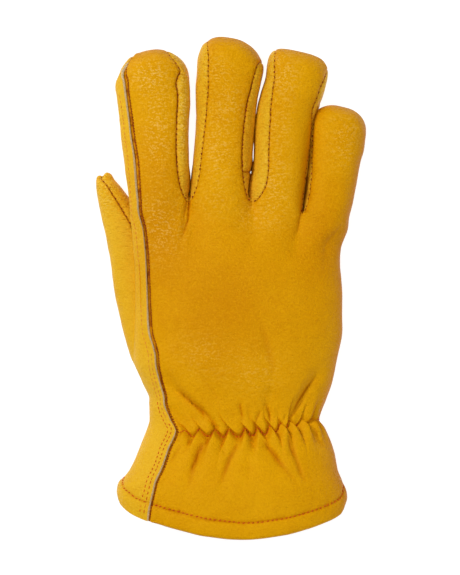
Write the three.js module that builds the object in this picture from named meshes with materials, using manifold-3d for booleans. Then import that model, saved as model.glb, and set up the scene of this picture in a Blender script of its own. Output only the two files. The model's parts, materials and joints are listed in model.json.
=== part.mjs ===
// A right-hand leather work glove with a gathered wrist and a flared, hemmed cuff, lying palm down.
// Millimetres. +Y runs from the cuff to the fingertips, +X towards the little finger, +Z up out of the back.
// The glove is a set of leather panels sewn edge to edge round one open hollow: a back panel that rolls round
// the little finger's side, a palm panel that rolls round the index finger's side and laps over the back with
// a raw edge, side walls between the fingers, and a two-piece thumb let into the palm.
import * as THREE from 'three';
import Module from 'manifold-3d';

// Leather and seams
const LEATHER = 1.4; // wall thickness
const HEM_LEATHER = 3.0; // turned hem, two layers of leather and the fold between them
const HEM_HEIGHT = 8.5; // from the cuff's edge to the hem's stitch line
const SEAM_GAP = 0.3; // clearance between two panels that meet
const CORNER_GAP = 0.9; // the same at the sharp corners where panels meet
const LAP_RAISE = LEATHER + SEAM_GAP; // the palm panel rides this high where it laps over the back panel

// Hand
const HAND_LENGTH = 169; // from the middle of the hem to the finger roots
const PALM_WIDTH = 103;
const PALM_DEPTH = 37;
const WRIST_WIDTH = 85;
const WRIST_DEPTH = 35;
const CUFF_WIDTH = 114;
const CUFF_DEPTH = 46;
const KNUCKLE_DEPTH = 31;
const HEM_BOW = 21.5; // how much lower the hem's middle is than its sides, on the back
const HEM_BOW_PALM = 8;
const WRIST_AT = 53; // from the middle of the hem to the gathered stitch line
const FIRST_CROTCH_X = 6.2; // where the middle and ring fingers part, from the palm's centre line
const CROTCH_RISE = 5; // how much nearer the fingertips the palm side of a crotch lies
const KNUCKLE_BLEND_ACROSS = 14; // the same, sideways
const KNUCKLE_BLEND = 34; // length over which the fingers' roots fade into the back of the hand

// Gathers of the shirred wrist. The back panel's columns are counted so that each one is a corner of the zigzag.
const GATHER_RISE = 2; // half the height of the stitch line's zigzag
const GATHER_PUFF = 3.4; // how far a pucker stands above its neighbour
const GATHER_REACH = 11; // how far along the hand a pucker fades out
const GATHER_PINCH = 2.6; // how far the stitch line is drawn in
const WRIST_CLIMB = 6; // how much nearer the fingers the gathers run at the little finger's side

// Folds that run out from the gathers, on the back. x and y are the ends' places as shares of PALM_WIDTH and
// HAND_LENGTH from the middle of the hem; height is negative for a crease.
const FOLD_WIDTH = 4;
const FOLDS = [
  { fromX: -0.35, fromY: 0.47, toX: -0.19, toY: 0.345, height: -2.2 },
  { fromX: -0.33, fromY: 0.38, toX: -0.24, toY: 0.325, height: -1.6 },
  { fromX: 0.37, fromY: 0.48, toX: 0.26, toY: 0.36, height: -2.0 },
  { fromX: 0.14, fromY: 0.43, toX: 0.155, toY: 0.35, height: -1.4 },
  { fromX: 0.07, fromY: 0.3, toX: 0.2, toY: 0.22, height: -1.4 },
  { fromX: -0.19, fromY: 0.3, toX: -0.2, toY: 0.23, height: -1.2 },
];

// Fingers, as they lie from the index finger to the little finger. left_drop and right_drop are how far the
// root lies below the hand's length on each side, lean is in degrees, root is the root's share of the width,
// cap the height of the round tip, slant how far the tip's outer side hangs, bluntness its squareness.
const FINGERS = [
  { name: 'index', width: 36.5, length: 75.6, depth: 25, lean: -2.5, root: 0.804, left_drop: 2, right_drop: 0,
    cap: 15.5, slant: -1.3, bluntness: 2.0 },
  { name: 'middle', width: 34.7, length: 81.5, depth: 25, lean: 3.4, root: 0.901, left_drop: 0, right_drop: 0.7,
    cap: 17.5, slant: 3.2, bluntness: 2.4 },
  { name: 'ring', width: 31, length: 74.6, depth: 24, lean: 7.9, root: 0.816, left_drop: 0.7, right_drop: 6.5,
    cap: 14.5, slant: 5.0, bluntness: 2.6 },
  { name: 'little', width: 27.3, length: 46.9, depth: 22, lean: 7.9, root: 0.862, left_drop: 6.5, right_drop: 10.5,
    cap: 12.8, slant: 3.0, bluntness: 2.3 },
];
const FINGER_LIFT = 5.5; // how far a finger's root is held off the surface
const FINGER_TIP_START = 0.86; // share of the length where the tip starts to close in depth
const CAP_START = 0.58; // share of the length where rows start to follow the round tip

// Outlines of the fingers. at is a share of the length, left and right the sides' distance from the finger's
// centre line as shares of its width.
const FINGER_SIDES = {
  index: [
    { at: 0.0, left: -0.402, right: 0.401 }, { at: 0.13, left: -0.436, right: 0.414 },
    { at: 0.27, left: -0.464, right: 0.426 }, { at: 0.4, left: -0.493, right: 0.431 },
    { at: 0.53, left: -0.51, right: 0.449 }, { at: 0.66, left: -0.525, right: 0.475 },
    { at: 0.73, left: -0.528, right: 0.475 }, { at: 0.8, left: -0.512, right: 0.474 },
  ],
  middle: [
    { at: 0.0, left: -0.45, right: 0.45 }, { at: 0.12, left: -0.435, right: 0.428 },
    { at: 0.25, left: -0.438, right: 0.422 }, { at: 0.37, left: -0.427, right: 0.427 },
    { at: 0.49, left: -0.429, right: 0.435 }, { at: 0.61, left: -0.447, right: 0.452 },
    { at: 0.71, left: -0.46, right: 0.487 }, { at: 0.79, left: -0.457, right: 0.52 },
  ],
  ring: [
    { at: 0.0, left: -0.408, right: 0.408 }, { at: 0.13, left: -0.438, right: 0.405 },
    { at: 0.26, left: -0.472, right: 0.403 }, { at: 0.39, left: -0.502, right: 0.402 },
    { at: 0.52, left: -0.528, right: 0.402 }, { at: 0.62, left: -0.52, right: 0.43 },
    { at: 0.72, left: -0.495, right: 0.495 }, { at: 0.82, left: -0.456, right: 0.516 },
  ],
  little: [
    { at: 0.0, left: -0.431, right: 0.431 }, { at: 0.12, left: -0.428, right: 0.452 },
    { at: 0.3, left: -0.435, right: 0.476 }, { at: 0.49, left: -0.44, right: 0.498 },
    { at: 0.63, left: -0.445, right: 0.533 }, { at: 0.77, left: -0.46, right: 0.531 },
  ],
};

// Seams on the backs of the fingers: across is how far out each seam runs, as a share of the half width.
const FINGER_SEAMS = {
  index: [
    { at: 0.0, left: 0.72, right: 0.66 }, { at: 0.27, left: 0.69, right: 0.61 },
    { at: 0.4, left: 0.67, right: 0.64 }, { at: 0.67, left: 0.72, right: 0.645 },
    { at: 0.86, left: 0.82, right: 0.71 }, { at: 0.94, left: 0.8, right: 0.62 }, { at: 1.0, left: 0.6, right: 0.4 },
  ],
  middle: [
    { at: 0.0, left: 0.8, right: 0.8 }, { at: 0.2, left: 0.72, right: 0.7 }, { at: 0.42, left: 0.68, right: 0.69 },
    { at: 0.67, left: 0.59, right: 0.73 }, { at: 0.83, left: 0.63, right: 0.73 },
    { at: 0.93, left: 0.63, right: 0.88 }, { at: 1.0, left: 0.66, right: 0.93 },
  ],
  ring: [
    { at: 0.0, left: 0.7, right: 0.93 }, { at: 0.15, left: 0.44, right: 0.93 }, { at: 0.45, left: 0.46, right: 0.93 },
    { at: 0.63, left: 0.53, right: 0.83 }, { at: 0.78, left: 0.62, right: 0.84 },
    { at: 0.94, left: 0.69, right: 0.95 }, { at: 1.0, left: 0.66, right: 0.95 },
  ],
  little: [
    { at: 0.0, left: 0.87, right: 0.75 }, { at: 0.3, left: 0.86, right: 0.75 }, { at: 0.6, left: 0.92, right: 0.78 },
    { at: 1.0, left: 0.93, right: 0.85 },
  ],
};
const PALM_SEAM_ACROSS = 0.68; // how far out the seams run on the fingers' palm side

// Outline and raw edge of the hand. at is a share of HAND_LENGTH from the hem; left and right are shares of the
// named width, top is a share of the named depth, and raw_edge is how far out the lapped edge runs on the thumb's
// side, as a share of the half width.
const HAND_SECTIONS = [
  { at: 0.0, width: CUFF_WIDTH, left: -0.535, right: 0.467, depth: CUFF_DEPTH, top: 1.0, raw_edge: 0.742 },
  { at: 0.106, width: CUFF_WIDTH, left: -0.535, right: 0.467, depth: CUFF_DEPTH, top: 0.99, raw_edge: 0.702 },
  { at: 0.154, width: CUFF_WIDTH, left: -0.527, right: 0.457, depth: CUFF_DEPTH, top: 0.97, raw_edge: 0.68 },
  { at: 0.201, width: CUFF_WIDTH, left: -0.478, right: 0.43, depth: CUFF_DEPTH, top: 0.92, raw_edge: 0.7 },
  { at: 0.26, width: CUFF_WIDTH, left: -0.439, right: 0.412, depth: CUFF_DEPTH, top: 0.85, raw_edge: 0.7 },
  { at: 0.315, width: WRIST_WIDTH, left: -0.547, right: 0.51, depth: WRIST_DEPTH, top: 1.03, raw_edge: 0.671 },
  { at: 0.349, width: WRIST_WIDTH, left: -0.529, right: 0.471, depth: WRIST_DEPTH, top: 1.0, raw_edge: 0.746 },
  { at: 0.408, width: WRIST_WIDTH, left: -0.529, right: 0.512, depth: WRIST_DEPTH, top: 1.02, raw_edge: 0.826 },
  { at: 0.464, width: WRIST_WIDTH, left: -0.576, right: 0.553, depth: PALM_DEPTH, top: 0.99, raw_edge: 0.805 },
  { at: 0.527, width: PALM_WIDTH, left: -0.515, right: 0.476, depth: PALM_DEPTH, top: 1.0, raw_edge: 0.775 },
  { at: 0.615, width: PALM_WIDTH, left: -0.505, right: 0.5, depth: PALM_DEPTH, top: 1.0, raw_edge: 0.86 },
  { at: 0.704, width: PALM_WIDTH, left: -0.5, right: 0.5, depth: PALM_DEPTH, top: 0.99, raw_edge: 0.887 },
  { at: 0.822, width: PALM_WIDTH, left: -0.503, right: 0.49, depth: PALM_DEPTH, top: 0.95, raw_edge: 0.897 },
  { at: 0.911, width: PALM_WIDTH, left: -0.515, right: 0.51, depth: KNUCKLE_DEPTH, top: 1.07, raw_edge: 0.905 },
  { at: 1.0, width: PALM_WIDTH, left: -0.528, right: 0.549, depth: KNUCKLE_DEPTH, top: 1.0, raw_edge: 0.93 },
];
// The hem's edge on the back. at is how far across the cuff, from the thumb's side (-1) to the other (1), and up the
// edge's height as a share of HEM_BOW.
const HEM_CURVE = [
  { at: -1, up: 1 }, { at: -0.94, up: 0.78 }, { at: -0.82, up: 0.54 }, { at: -0.58, up: 0.31 },
  { at: -0.36, up: 0.16 }, { at: -0.19, up: 0.07 }, { at: 0.15, up: 0 }, { at: 0.48, up: 0.115 },
  { at: 0.64, up: 0.23 }, { at: 0.8, up: 0.37 }, { at: 0.95, up: 0.56 }, { at: 1, up: 0.85 },
];
const MIDDLE_HEIGHT = 0.45; // height of a section's widest line, as a share of its top
const TOP_SQUARENESS = 2.3;
const UNDER_SQUARENESS = 3.0;
const UNDER_PRESS = 1.09; // above 1, the underside is pressed flat where it rests
const LITTLE_SIDE_ANGLE = 35; // degrees above the widest line where the back panel turns down
const PALM_SEAM_ANGLE = -42; // degrees, the seam under the little finger's side
const INDEX_SIDE_ANGLE = 225; // degrees, where the palm panel turns up to the lapped edge

// The index side of the hand is held up where the thumb passes under it.
const THUMB_ROOM = 6.5;
const THUMB_ROOM_AT = 0.9; // share of HAND_LENGTH
const THUMB_ROOM_REACH = 27;

// Thumb: from its base inside the palm to its tip. at is a share of THUMB_LENGTH, aside and wide shares of the
// length and the width, thick and height shares of the depth.
const THUMB_LENGTH = 106;
const THUMB_WIDTH = 30;
const THUMB_DEPTH = 20;
const THUMB_BASE_X = -33.5;
const THUMB_BASE_AT = 0.453; // share of HAND_LENGTH
const THUMB_SECTIONS = [
  { at: 0.0, aside: -0.03, wide: 0.38, thick: 0.42, height: 0.82 },
  { at: 0.165, aside: -0.075, wide: 0.48, thick: 0.5, height: 0.66 },
  { at: 0.4, aside: -0.124, wide: 0.51, thick: 0.5, height: 0.52 },
  { at: 0.59, aside: -0.168, wide: 0.45, thick: 0.47, height: 0.46 },
  { at: 0.73, aside: -0.215, wide: 0.385, thick: 0.44, height: 0.43 },
  { at: 0.873, aside: -0.278, wide: 0.267, thick: 0.36, height: 0.36 },
  { at: 0.943, aside: -0.311, wide: 0.19, thick: 0.28, height: 0.3 },
  { at: 0.985, aside: -0.33, wide: 0.1, thick: 0.14, height: 0.26 },
  { at: 1.0, aside: -0.336, wide: 0.0, thick: 0.0, height: 0.25 },
];
const THUMB_SQUARENESS = 2.2;
const THUMB_SEAM_ANGLE = 76; // degrees, on the thumb's upper side; the lower seam mirrors it
const WEB_AT = 0.787; // share of HAND_LENGTH where the thumb leaves the palm
const THUMB_CLEARANCE = 1.0; // between the free part of the thumb and the palm draped over it

// Mesh steps. Columns are counted across a finger's back; walls and sides have shares of their own, the same from
// both edges, so that a fingertip's upper and lower halves close on each other.
const FINGER_COLUMNS = [5, 6, 6, 5];
const WALL_SHARES = [0, 0.25, 0.5, 0.75, 1];
const LAP_SHARE = 0.16; // share of the index finger's side that lies over the back panel
const INDEX_SIDE_SHARES = [0, LAP_SHARE, 0.38, 0.62, 1 - LAP_SHARE, 1];
const CUFF_ROWS = [0, HEM_HEIGHT / WRIST_AT, 0.42, 0.66, 0.85, 0.93];
const HAND_ROWS = [1, 1.04, 1.1, 1.22, 1.4, 1.6, 1.78, 1.91, 2];
const FINGER_ROWS = [0, 0.06, 0.14, 0.27, 0.42, 0.58, 0.72, 0.83, 0.9, 0.95, 0.985, 1];
const LAP_END = 0.9; // where the lapped edge ends on the index finger
const JOINT_ROWS = 2; // rows of the middle finger's wall that belong to the ring finger's side piece
const THUMB_ROWS = [0, 0.1, 0.2, 0.3, 0.4, 0.5, 0.6, 0.7, 0.78, 0.85, 0.91, 0.95, 0.98, 1];
const THUMB_COLUMNS = 9;

const OCHRE = 0xd99a1c;
const PALE_OCHRE = 0xdda92c;

const lerp = (a, b, t) => a + (b - a) * t;
const clamp01 = (t) => Math.min(1, Math.max(0, t));
const smooth = (t) => clamp01(t) ** 2 * (3 - 2 * clamp01(t));
const radians = (degrees) => (degrees * Math.PI) / 180;
const power = (value, exponent) => Math.sign(value) * Math.abs(value) ** exponent;

// One column of a table at a station, by a cubic that doesn't overshoot its rows.
function column(rows, key, at) {
  const last = rows.length - 1;
  if (at <= rows[0].at) return rows[0][key];
  if (at >= rows[last].at) return rows[last][key];
  const slope = (i) => (rows[i + 1][key] - rows[i][key]) / (rows[i + 1].at - rows[i].at);
  const tangent = (i) => {
    if (i === 0) return slope(0);
    if (i === last) return slope(last - 1);
    const before = slope(i - 1);
    const after = slope(i);
    return before * after <= 0 ? 0 : (2 * before * after) / (before + after);
  };
  const i = rows.findIndex((row, n) => n < last && at <= rows[n + 1].at);
  const span = rows[i + 1].at - rows[i].at;
  const t = (at - rows[i].at) / span;
  const rise = rows[i + 1][key] - rows[i][key];
  const start = tangent(i) * span;
  const end = tangent(i + 1) * span;
  return rows[i][key] + start * t + (3 * rise - 2 * start - end) * t * t + (start + end - 2 * rise) * t ** 3;
}

const HAND_OUTLINE = HAND_SECTIONS.map((row) => ({
  at: row.at, left: row.width * row.left, right: row.width * row.right, top: row.depth * row.top,
  raw_edge: row.raw_edge,
}));

// Extra height of the hand's thumb side, where the thumb lies under it.
function roomForThumb(y, across) {
  const along = (y - THUMB_ROOM_AT * HAND_LENGTH) / THUMB_ROOM_REACH;
  return THUMB_ROOM * Math.exp(-along * along) * smooth((-across - 0.3) / 0.7);
}

// A point of a rounded section that is pressed flat where it rests.
function sectionHeight(sine, top, middle, under) {
  if (sine >= 0) return middle + (top - middle) * Math.abs(sine) ** (2 / TOP_SQUARENESS);
  return Math.max(under, middle - (middle - under) * UNDER_PRESS * Math.abs(sine) ** (2 / UNDER_SQUARENESS));
}

// Where the raw edge runs, as an angle round the hand's section.
function rawEdgeAngle(y) {
  const across = column(HAND_OUTLINE, 'raw_edge', y / HAND_LENGTH);
  return Math.PI - Math.acos(across ** (TOP_SQUARENESS / 2));
}

// The hand's skin at a distance from the hem and an angle round its section.
function handPoint(y, angle) {
  const at = y / HAND_LENGTH;
  const left = column(HAND_OUTLINE, 'left', at);
  const right = column(HAND_OUTLINE, 'right', at);
  const top = column(HAND_OUTLINE, 'top', at);
  const across = power(Math.cos(angle), 2 / TOP_SQUARENESS);
  const middle = top * MIDDLE_HEIGHT + roomForThumb(y, across);
  const z = sectionHeight(Math.sin(angle), top, middle, 0);
  return new THREE.Vector3((left + right) / 2 + ((right - left) / 2) * across, y, z);
}

// The fingers' places follow from their widths, outwards from where the middle and ring fingers part.
const crotchX = [0, FIRST_CROTCH_X, 0];
crotchX[0] = FIRST_CROTCH_X - FINGERS[1].root * FINGERS[1].width;
crotchX[2] = FIRST_CROTCH_X + FINGERS[2].root * FINGERS[2].width;
const rootLeft = [crotchX[0] - FINGERS[0].root * FINGERS[0].width, ...crotchX];
const CROTCH_DROPS = [FINGERS[1].left_drop, FINGERS[2].left_drop, FINGERS[3].left_drop];
FINGERS.forEach((finger, i) => {
  const sides = FINGER_SIDES[finger.name];
  finger.sides = sides;
  finger.seams = FINGER_SEAMS[finger.name];
  finger.axisX = rootLeft[i] - sides[0].left * finger.width;
  finger.rootY = HAND_LENGTH - (finger.left_drop + finger.right_drop) / 2;
  finger.rootSlope = (finger.left_drop - finger.right_drop) / 2;
  finger.reach = finger.length + HAND_LENGTH - finger.rootY;
});

// A finger's skin: along is 0 at the root and 1 at the tip, angle goes round the section.
function fingerPoint(finger, along, angle) {
  const across = power(Math.cos(angle), 2 / TOP_SQUARENESS);
  const inside = (1 - Math.abs(across) ** finger.bluntness) ** (1 / finger.bluntness);
  const capDrop = (finger.cap * (1 - inside) + finger.slant * across) * smooth((along - CAP_START) / (1 - CAP_START));
  const up = along * finger.reach + finger.rootSlope * across * (1 - along) - capDrop;
  const at = up / finger.reach;
  const left = column(finger.sides, 'left', at) * finger.width;
  const right = column(finger.sides, 'right', at) * finger.width;
  const x = finger.axisX + Math.tan(radians(finger.lean)) * up + (left + right) / 2 + ((right - left) / 2) * across;
  const lift = FINGER_LIFT * (1 - smooth(along / 0.7));
  const closing = clamp01((along - FINGER_TIP_START) / (1 - FINGER_TIP_START));
  const open = Math.sqrt(1 - closing * closing);
  const thumbRoom = finger.name === 'index' ? roomForThumb(finger.rootY + up, across) : 0;
  const middle = finger.depth * MIDDLE_HEIGHT + lift + thumbRoom;
  const full = sectionHeight(Math.sin(angle), finger.depth + lift, middle, lift);
  return new THREE.Vector3(x, finger.rootY + up, middle + (full - middle) * open);
}

// Angle of a finger's seam. Under the palm side the seams run at one distance and meet the upper ones at the tip.
function seamAngle(finger, along, side, upper) {
  const above = column(finger.seams, side, along);
  const under = lerp(PALM_SEAM_ACROSS, column(finger.seams, side, 1), smooth((along - 0.75) / 0.25));
  const quarter = Math.acos((upper ? above : under) ** (TOP_SQUARENESS / 2));
  if (side === 'right') return upper ? quarter : -quarter;
  return upper ? Math.PI - quarter : Math.PI + quarter;
}

// The line that a crotch follows from the back (0) to the palm (1).
function crotchPoint(gap, down) {
  const y = HAND_LENGTH - CROTCH_DROPS[gap];
  const top = KNUCKLE_DEPTH * 0.8;
  const under = FINGER_LIFT * 0.8;
  return new THREE.Vector3(crotchX[gap], y + CROTCH_RISE * Math.sin((down * Math.PI) / 2), lerp(top, under, down));
}

const CROTCH_ROUNDNESS = [0.8, 0.5, 0.9]; // 1 is a sharp V, 0.5 a round U
const CROTCH_LENGTH = 0.24; // share of the finger's length that is drawn to the crotch
function crotchShare(gap, along) {
  const t = clamp01(along / CROTCH_LENGTH);
  return (1 - (1 - t) ** 2) ** CROTCH_ROUNDNESS[gap];
}

// A point of a finger's side wall. Walls at a crotch are drawn to the crotch's line.
function wallPoint(i, side, along, down) {
  const finger = FINGERS[i];
  const from = seamAngle(finger, along, side, true);
  const to = seamAngle(finger, along, side, false);
  const point = fingerPoint(finger, along, lerp(from, to, down));
  const gap = side === 'left' ? i - 1 : i;
  if (gap < 0 || gap > 2) return point;
  return crotchPoint(gap, down).lerp(point, crotchShare(gap, along));
}

// A point of a finger's back (upper) or palm side, carried along with its seams near the crotch.
function facePoint(i, upper, along, share) {
  const finger = FINGERS[i];
  const from = seamAngle(finger, along, 'left', upper);
  let to = seamAngle(finger, along, 'right', upper);
  if (!upper) to += 2 * Math.PI;
  const point = fingerPoint(finger, along, lerp(from, to, share));
  const seams = [['left', from, 1 - share], ['right', to, share]];
  for (const [side, angle, near] of seams) {
    const drawn = wallPoint(i, side, along, upper ? 0 : 1).sub(fingerPoint(finger, along, angle));
    point.addScaledVector(drawn, near ** 2.5);
  }
  return point;
}

// Angles that bound the strips of the hand, all the way round: the back's four strips, the little finger's side,
// the palm's four strips, and the index finger's side.
function crotchShares(from, to, upper) {
  const y = HAND_LENGTH;
  return crotchX.map((x) => {
    const outline = handPoint(y, 0).x;
    const left = handPoint(y, Math.PI).x;
    const across = (2 * (x - left)) / (outline - left) - 1;
    const quarter = Math.acos(power(across, TOP_SQUARENESS / 2));
    const angle = upper ? quarter : 2 * Math.PI - quarter;
    return (angle - from) / (to - from);
  });
}
const LITTLE_SIDE = radians(LITTLE_SIDE_ANGLE);
const PALM_SEAM = radians(PALM_SEAM_ANGLE) + 2 * Math.PI;
const INDEX_SIDE = radians(INDEX_SIDE_ANGLE);
const upperShares = [0, ...crotchShares(rawEdgeAngle(HAND_LENGTH), LITTLE_SIDE, true), 1];
const underShares = [0, ...crotchShares(INDEX_SIDE, PALM_SEAM, false), 1];

// The angle round the hand of a strip's point, at a distance from the hem.
function stripAngle(strip, share, y) {
  if (strip.kind === 'back') {
    return lerp(rawEdgeAngle(y), LITTLE_SIDE, lerp(upperShares[strip.finger], upperShares[strip.finger + 1], share));
  }
  if (strip.kind === 'palm') {
    return lerp(INDEX_SIDE, PALM_SEAM, lerp(underShares[strip.finger], underShares[strip.finger + 1], share));
  }
  if (strip.kind === 'little_side') return lerp(LITTLE_SIDE, PALM_SEAM - 2 * Math.PI, share);
  return lerp(rawEdgeAngle(y), INDEX_SIDE, share);
}

function rootPoint(strip, share) {
  if (strip.kind === 'back') return facePoint(strip.finger, true, 0, share);
  if (strip.kind === 'palm') return facePoint(strip.finger, false, 0, share);
  if (strip.kind === 'little_side') return wallPoint(3, 'right', 0, share);
  return wallPoint(0, 'left', 0, share);
}

function hemY(angle) {
  const across = power(Math.cos(angle), 2 / TOP_SQUARENESS);
  const rise = Math.sin(angle);
  if (rise >= 0) return HEM_BOW * column(HEM_CURVE, 'up', across);
  const corner = lerp(HEM_CURVE[0].up, HEM_CURVE[HEM_CURVE.length - 1].up, (1 + across) / 2);
  return HEM_BOW * (corner - 0.7 * rise * (1 + rise) ** 2) - HEM_BOW_PALM * smooth(-rise);
}

function wristY(angle) {
  return WRIST_AT + WRIST_CLIMB * smooth(Math.cos(angle));
}

// The thumb's section across a line of constant y.
function thumbSection(at) {
  return {
    x: THUMB_BASE_X + column(THUMB_SECTIONS, 'aside', at) * THUMB_LENGTH,
    y: THUMB_BASE_AT * HAND_LENGTH + at * THUMB_LENGTH,
    half: column(THUMB_SECTIONS, 'wide', at) * THUMB_WIDTH,
    rise: column(THUMB_SECTIONS, 'thick', at) * THUMB_DEPTH,
    middle: column(THUMB_SECTIONS, 'height', at) * THUMB_DEPTH,
  };
}

function thumbPoint(at, angle) {
  const section = thumbSection(at);
  const x = section.x + section.half * power(Math.cos(angle), 2 / THUMB_SQUARENESS);
  const z = section.middle + section.rise * power(Math.sin(angle), 2 / THUMB_SQUARENESS);
  return new THREE.Vector3(x, section.y, Math.max(0, z));
}

// The palm is draped over the free part of the thumb.
function drapedOverThumb(point) {
  const at = (point.y - THUMB_BASE_AT * HAND_LENGTH) / THUMB_LENGTH;
  const free = smooth((point.y - WEB_AT * HAND_LENGTH) / 10) * smooth((HAND_LENGTH - point.y) / 9);
  if (at <= 0 || at >= 1 || free <= 0) return point;
  const section = thumbSection(at);
  const aside = Math.abs(point.x - section.x) / section.half;
  const height = (section.middle + section.rise + THUMB_CLEARANCE) * smooth((1.7 - aside) / 1.1);
  point.z += Math.max(0, height - point.z) * free;
  return point;
}

// Gathers: the stitch line zigzags, and the leather puffs up between its corners, above and below by turns.
// corner counts the zigzag's corners from the raw edge.
function gathered(point, angle, corner) {
  const from = rawEdgeAngle(WRIST_AT);
  const share = (from - angle) / from;
  if (share <= 0 || share >= 1) return point;
  const ends = smooth(share / 0.12) * smooth((1 - share) / 0.2);
  const wave = Math.cos(Math.PI * corner);
  const off = point.y - wristY(angle);
  const near = Math.exp(-((off / GATHER_REACH) ** 2));
  const stitched = Math.exp(-((off / 3) ** 2));
  const puff = GATHER_PUFF * 0.5 * (1 - Math.sign(off) * wave) * near * (1 - stitched);
  const out = new THREE.Vector3(Math.cos(angle), 0, Math.sin(angle));
  point.addScaledVector(out, (puff - GATHER_PINCH * stitched) * ends);
  point.y += GATHER_RISE * wave * near * ends;
  return point;
}

// The back's creases sink along straight lines that fade out at their ends.
function folded(point, angle) {
  const onBack = smooth(Math.sin(angle) / 0.5);
  for (const fold of FOLDS) {
    const start = new THREE.Vector2(fold.fromX * PALM_WIDTH, fold.fromY * HAND_LENGTH);
    const run = new THREE.Vector2(fold.toX * PALM_WIDTH, fold.toY * HAND_LENGTH).sub(start);
    const off = new THREE.Vector2(point.x, point.y).sub(start);
    const along = off.dot(run) / run.lengthSq();
    const aside = Math.abs(off.cross(run)) / run.length();
    const ends = smooth((along + 0.35) / 0.5) * smooth((1.25 - along) / 0.4);
    point.z += fold.height * Math.exp(-((aside / FOLD_WIDTH) ** 2)) * ends * onBack;
  }
  return point;
}

// The hand's skin between the hem and the finger roots. row is 0 at the hem, 1 at the gathers, 2 at the roots.
function handSkin(strip, share, row) {
  const root = rootPoint(strip, share);
  const wrist = wristY(stripAngle(strip, share, WRIST_AT));
  const hem = hemY(stripAngle(strip, share, HEM_BOW));
  const y = row <= 1 ? lerp(hem, wrist, row) : lerp(wrist, root.y, row - 1);
  const angle = stripAngle(strip, share, y);
  const point = handPoint(y, angle);
  point.x = lerp(point.x, root.x, smooth(1 - (root.y - y) / KNUCKLE_BLEND_ACROSS));
  point.z = lerp(point.z, root.z, smooth(1 - (root.y - y) / KNUCKLE_BLEND));
  folded(drapedOverThumb(point), angle);
  if (strip.corner === undefined) return point;
  return gathered(point, angle, strip.corner + share * strip.columns);
}

// A skin is a list of corner points and of the faces between them. Points that fall together are one.
const keyOf = (p) => [p.x, p.y, p.z].map((v) => Math.round(v * 1000)).join(',');
const edgeKey = (a, b) => (a < b ? `${a}|${b}` : `${b}|${a}`);

class Skin {
  constructor(name) {
    this.name = name;
    this.corners = new Map();
    this.faces = [];
  }

  // grid[row][column] of points. Faces look out where rows run to the fingertips and columns run clockwise, seen
  // from the fingertips. leather and raise are the wall's thickness and its height over the skin at a row and column.
  addGrid(grid, { leather = () => LEATHER, raise = () => 0, covered = false } = {}) {
    const keys = grid.map((line, r) => line.map((point, c) => {
      const key = keyOf(point);
      if (!this.corners.has(key)) this.corners.set(key, { point, leather: leather(r, c), raise: raise(r, c) });
      return key;
    }));
    for (let r = 0; r + 1 < keys.length; r++) {
      for (let c = 0; c + 1 < keys[r].length; c++) {
        const ring = [keys[r][c], keys[r][c + 1], keys[r + 1][c + 1], keys[r + 1][c]];
        const corners = ring.filter((key, n) => key !== ring[(n + 3) % 4]);
        if (corners.length >= 3) this.faces.push({ corners, covered });
      }
    }
  }
}

const fromEven = (columns) => Array.from({ length: columns + 1 }, (_, i) => i / columns);
const gridOf = (rows, shares, pointAt) => rows.map((row) => shares.map((share) => pointAt(row, share)));
const reversed = (grid) => grid.map((line) => [...line].reverse());
const HAND_STATIONS = [...CUFF_ROWS, ...HAND_ROWS];
const isHem = (r) => r <= 1;
const cornersBefore = (i) => FINGER_COLUMNS.slice(0, i).reduce((sum, n) => sum + n, 0);
const tipFade = (along) => 1 - smooth((along - LAP_END) / (1 - LAP_END));

const back = new Skin('back_panel');
const palm = new Skin('palm_panel');
const sides = {
  index_right: new Skin('fourchette_index_right'),
  middle_left: new Skin('fourchette_middle_left'),
  middle_right: new Skin('fourchette_middle_right'),
  ring_left: new Skin('fourchette_ring_left'),
  ring_right: new Skin('fourchette_ring_right'),
  little_left: new Skin('fourchette_little_left'),
};
const thumbOuter = new Skin('thumb_outer_panel');
const thumbInner = new Skin('thumb_inner_panel');

// The hem's extra layer thins out towards the lapped edge.
const hemLeather = (shares, flatFrom, flatTo) => (r, c) => {
  const full = flatFrom === flatTo ? 1 : smooth((shares[c] - flatFrom) / (flatTo - flatFrom));
  return isHem(r) ? lerp(LEATHER, HEM_LEATHER, full) : LEATHER;
};

FINGERS.forEach((finger, i) => {
  const columns = FINGER_COLUMNS[i];
  const shares = fromEven(columns);
  const backStrip = { kind: 'back', finger: i, corner: cornersBefore(i), columns };
  const leather = hemLeather(shares, 0, i === 0 ? 0.5 : 0);
  back.addGrid(gridOf(HAND_STATIONS, shares, (row, s) => handSkin(backStrip, s, row)), { leather });
  back.addGrid(gridOf(FINGER_ROWS, shares, (along, s) => facePoint(i, true, along, s)));
  const palmStrip = { kind: 'palm', finger: i };
  const palmHand = gridOf(HAND_STATIONS, shares, (row, s) => handSkin(palmStrip, s, row));
  palm.addGrid(reversed(palmHand), { leather: hemLeather(shares, 0, 0) });
  palm.addGrid(reversed(gridOf(FINGER_ROWS, shares, (along, s) => facePoint(i, false, along, s))));
});

// The back panel rolls round the little finger's side.
const littleStrip = { kind: 'little_side', corner: cornersBefore(4), columns: WALL_SHARES.length - 1 };
back.addGrid(gridOf(HAND_STATIONS, WALL_SHARES, (row, s) => handSkin(littleStrip, s, row)),
  { leather: hemLeather(WALL_SHARES, 0, 0) });
back.addGrid(gridOf(FINGER_ROWS, WALL_SHARES, (along, s) => wallPoint(3, 'right', along, s)));

// The back panel runs on under the lapped edge.
const indexStrip = { kind: 'index_side' };
const lapShares = INDEX_SIDE_SHARES.slice(0, 2);
const lapRows = FINGER_ROWS.filter((along) => along <= LAP_END);
back.addGrid(reversed(gridOf(HAND_STATIONS, lapShares, (row, s) => handSkin(indexStrip, s, row))), { covered: true });
back.addGrid(reversed(gridOf(lapRows, lapShares, (along, s) => wallPoint(0, 'left', along, s))), { covered: true });

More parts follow.
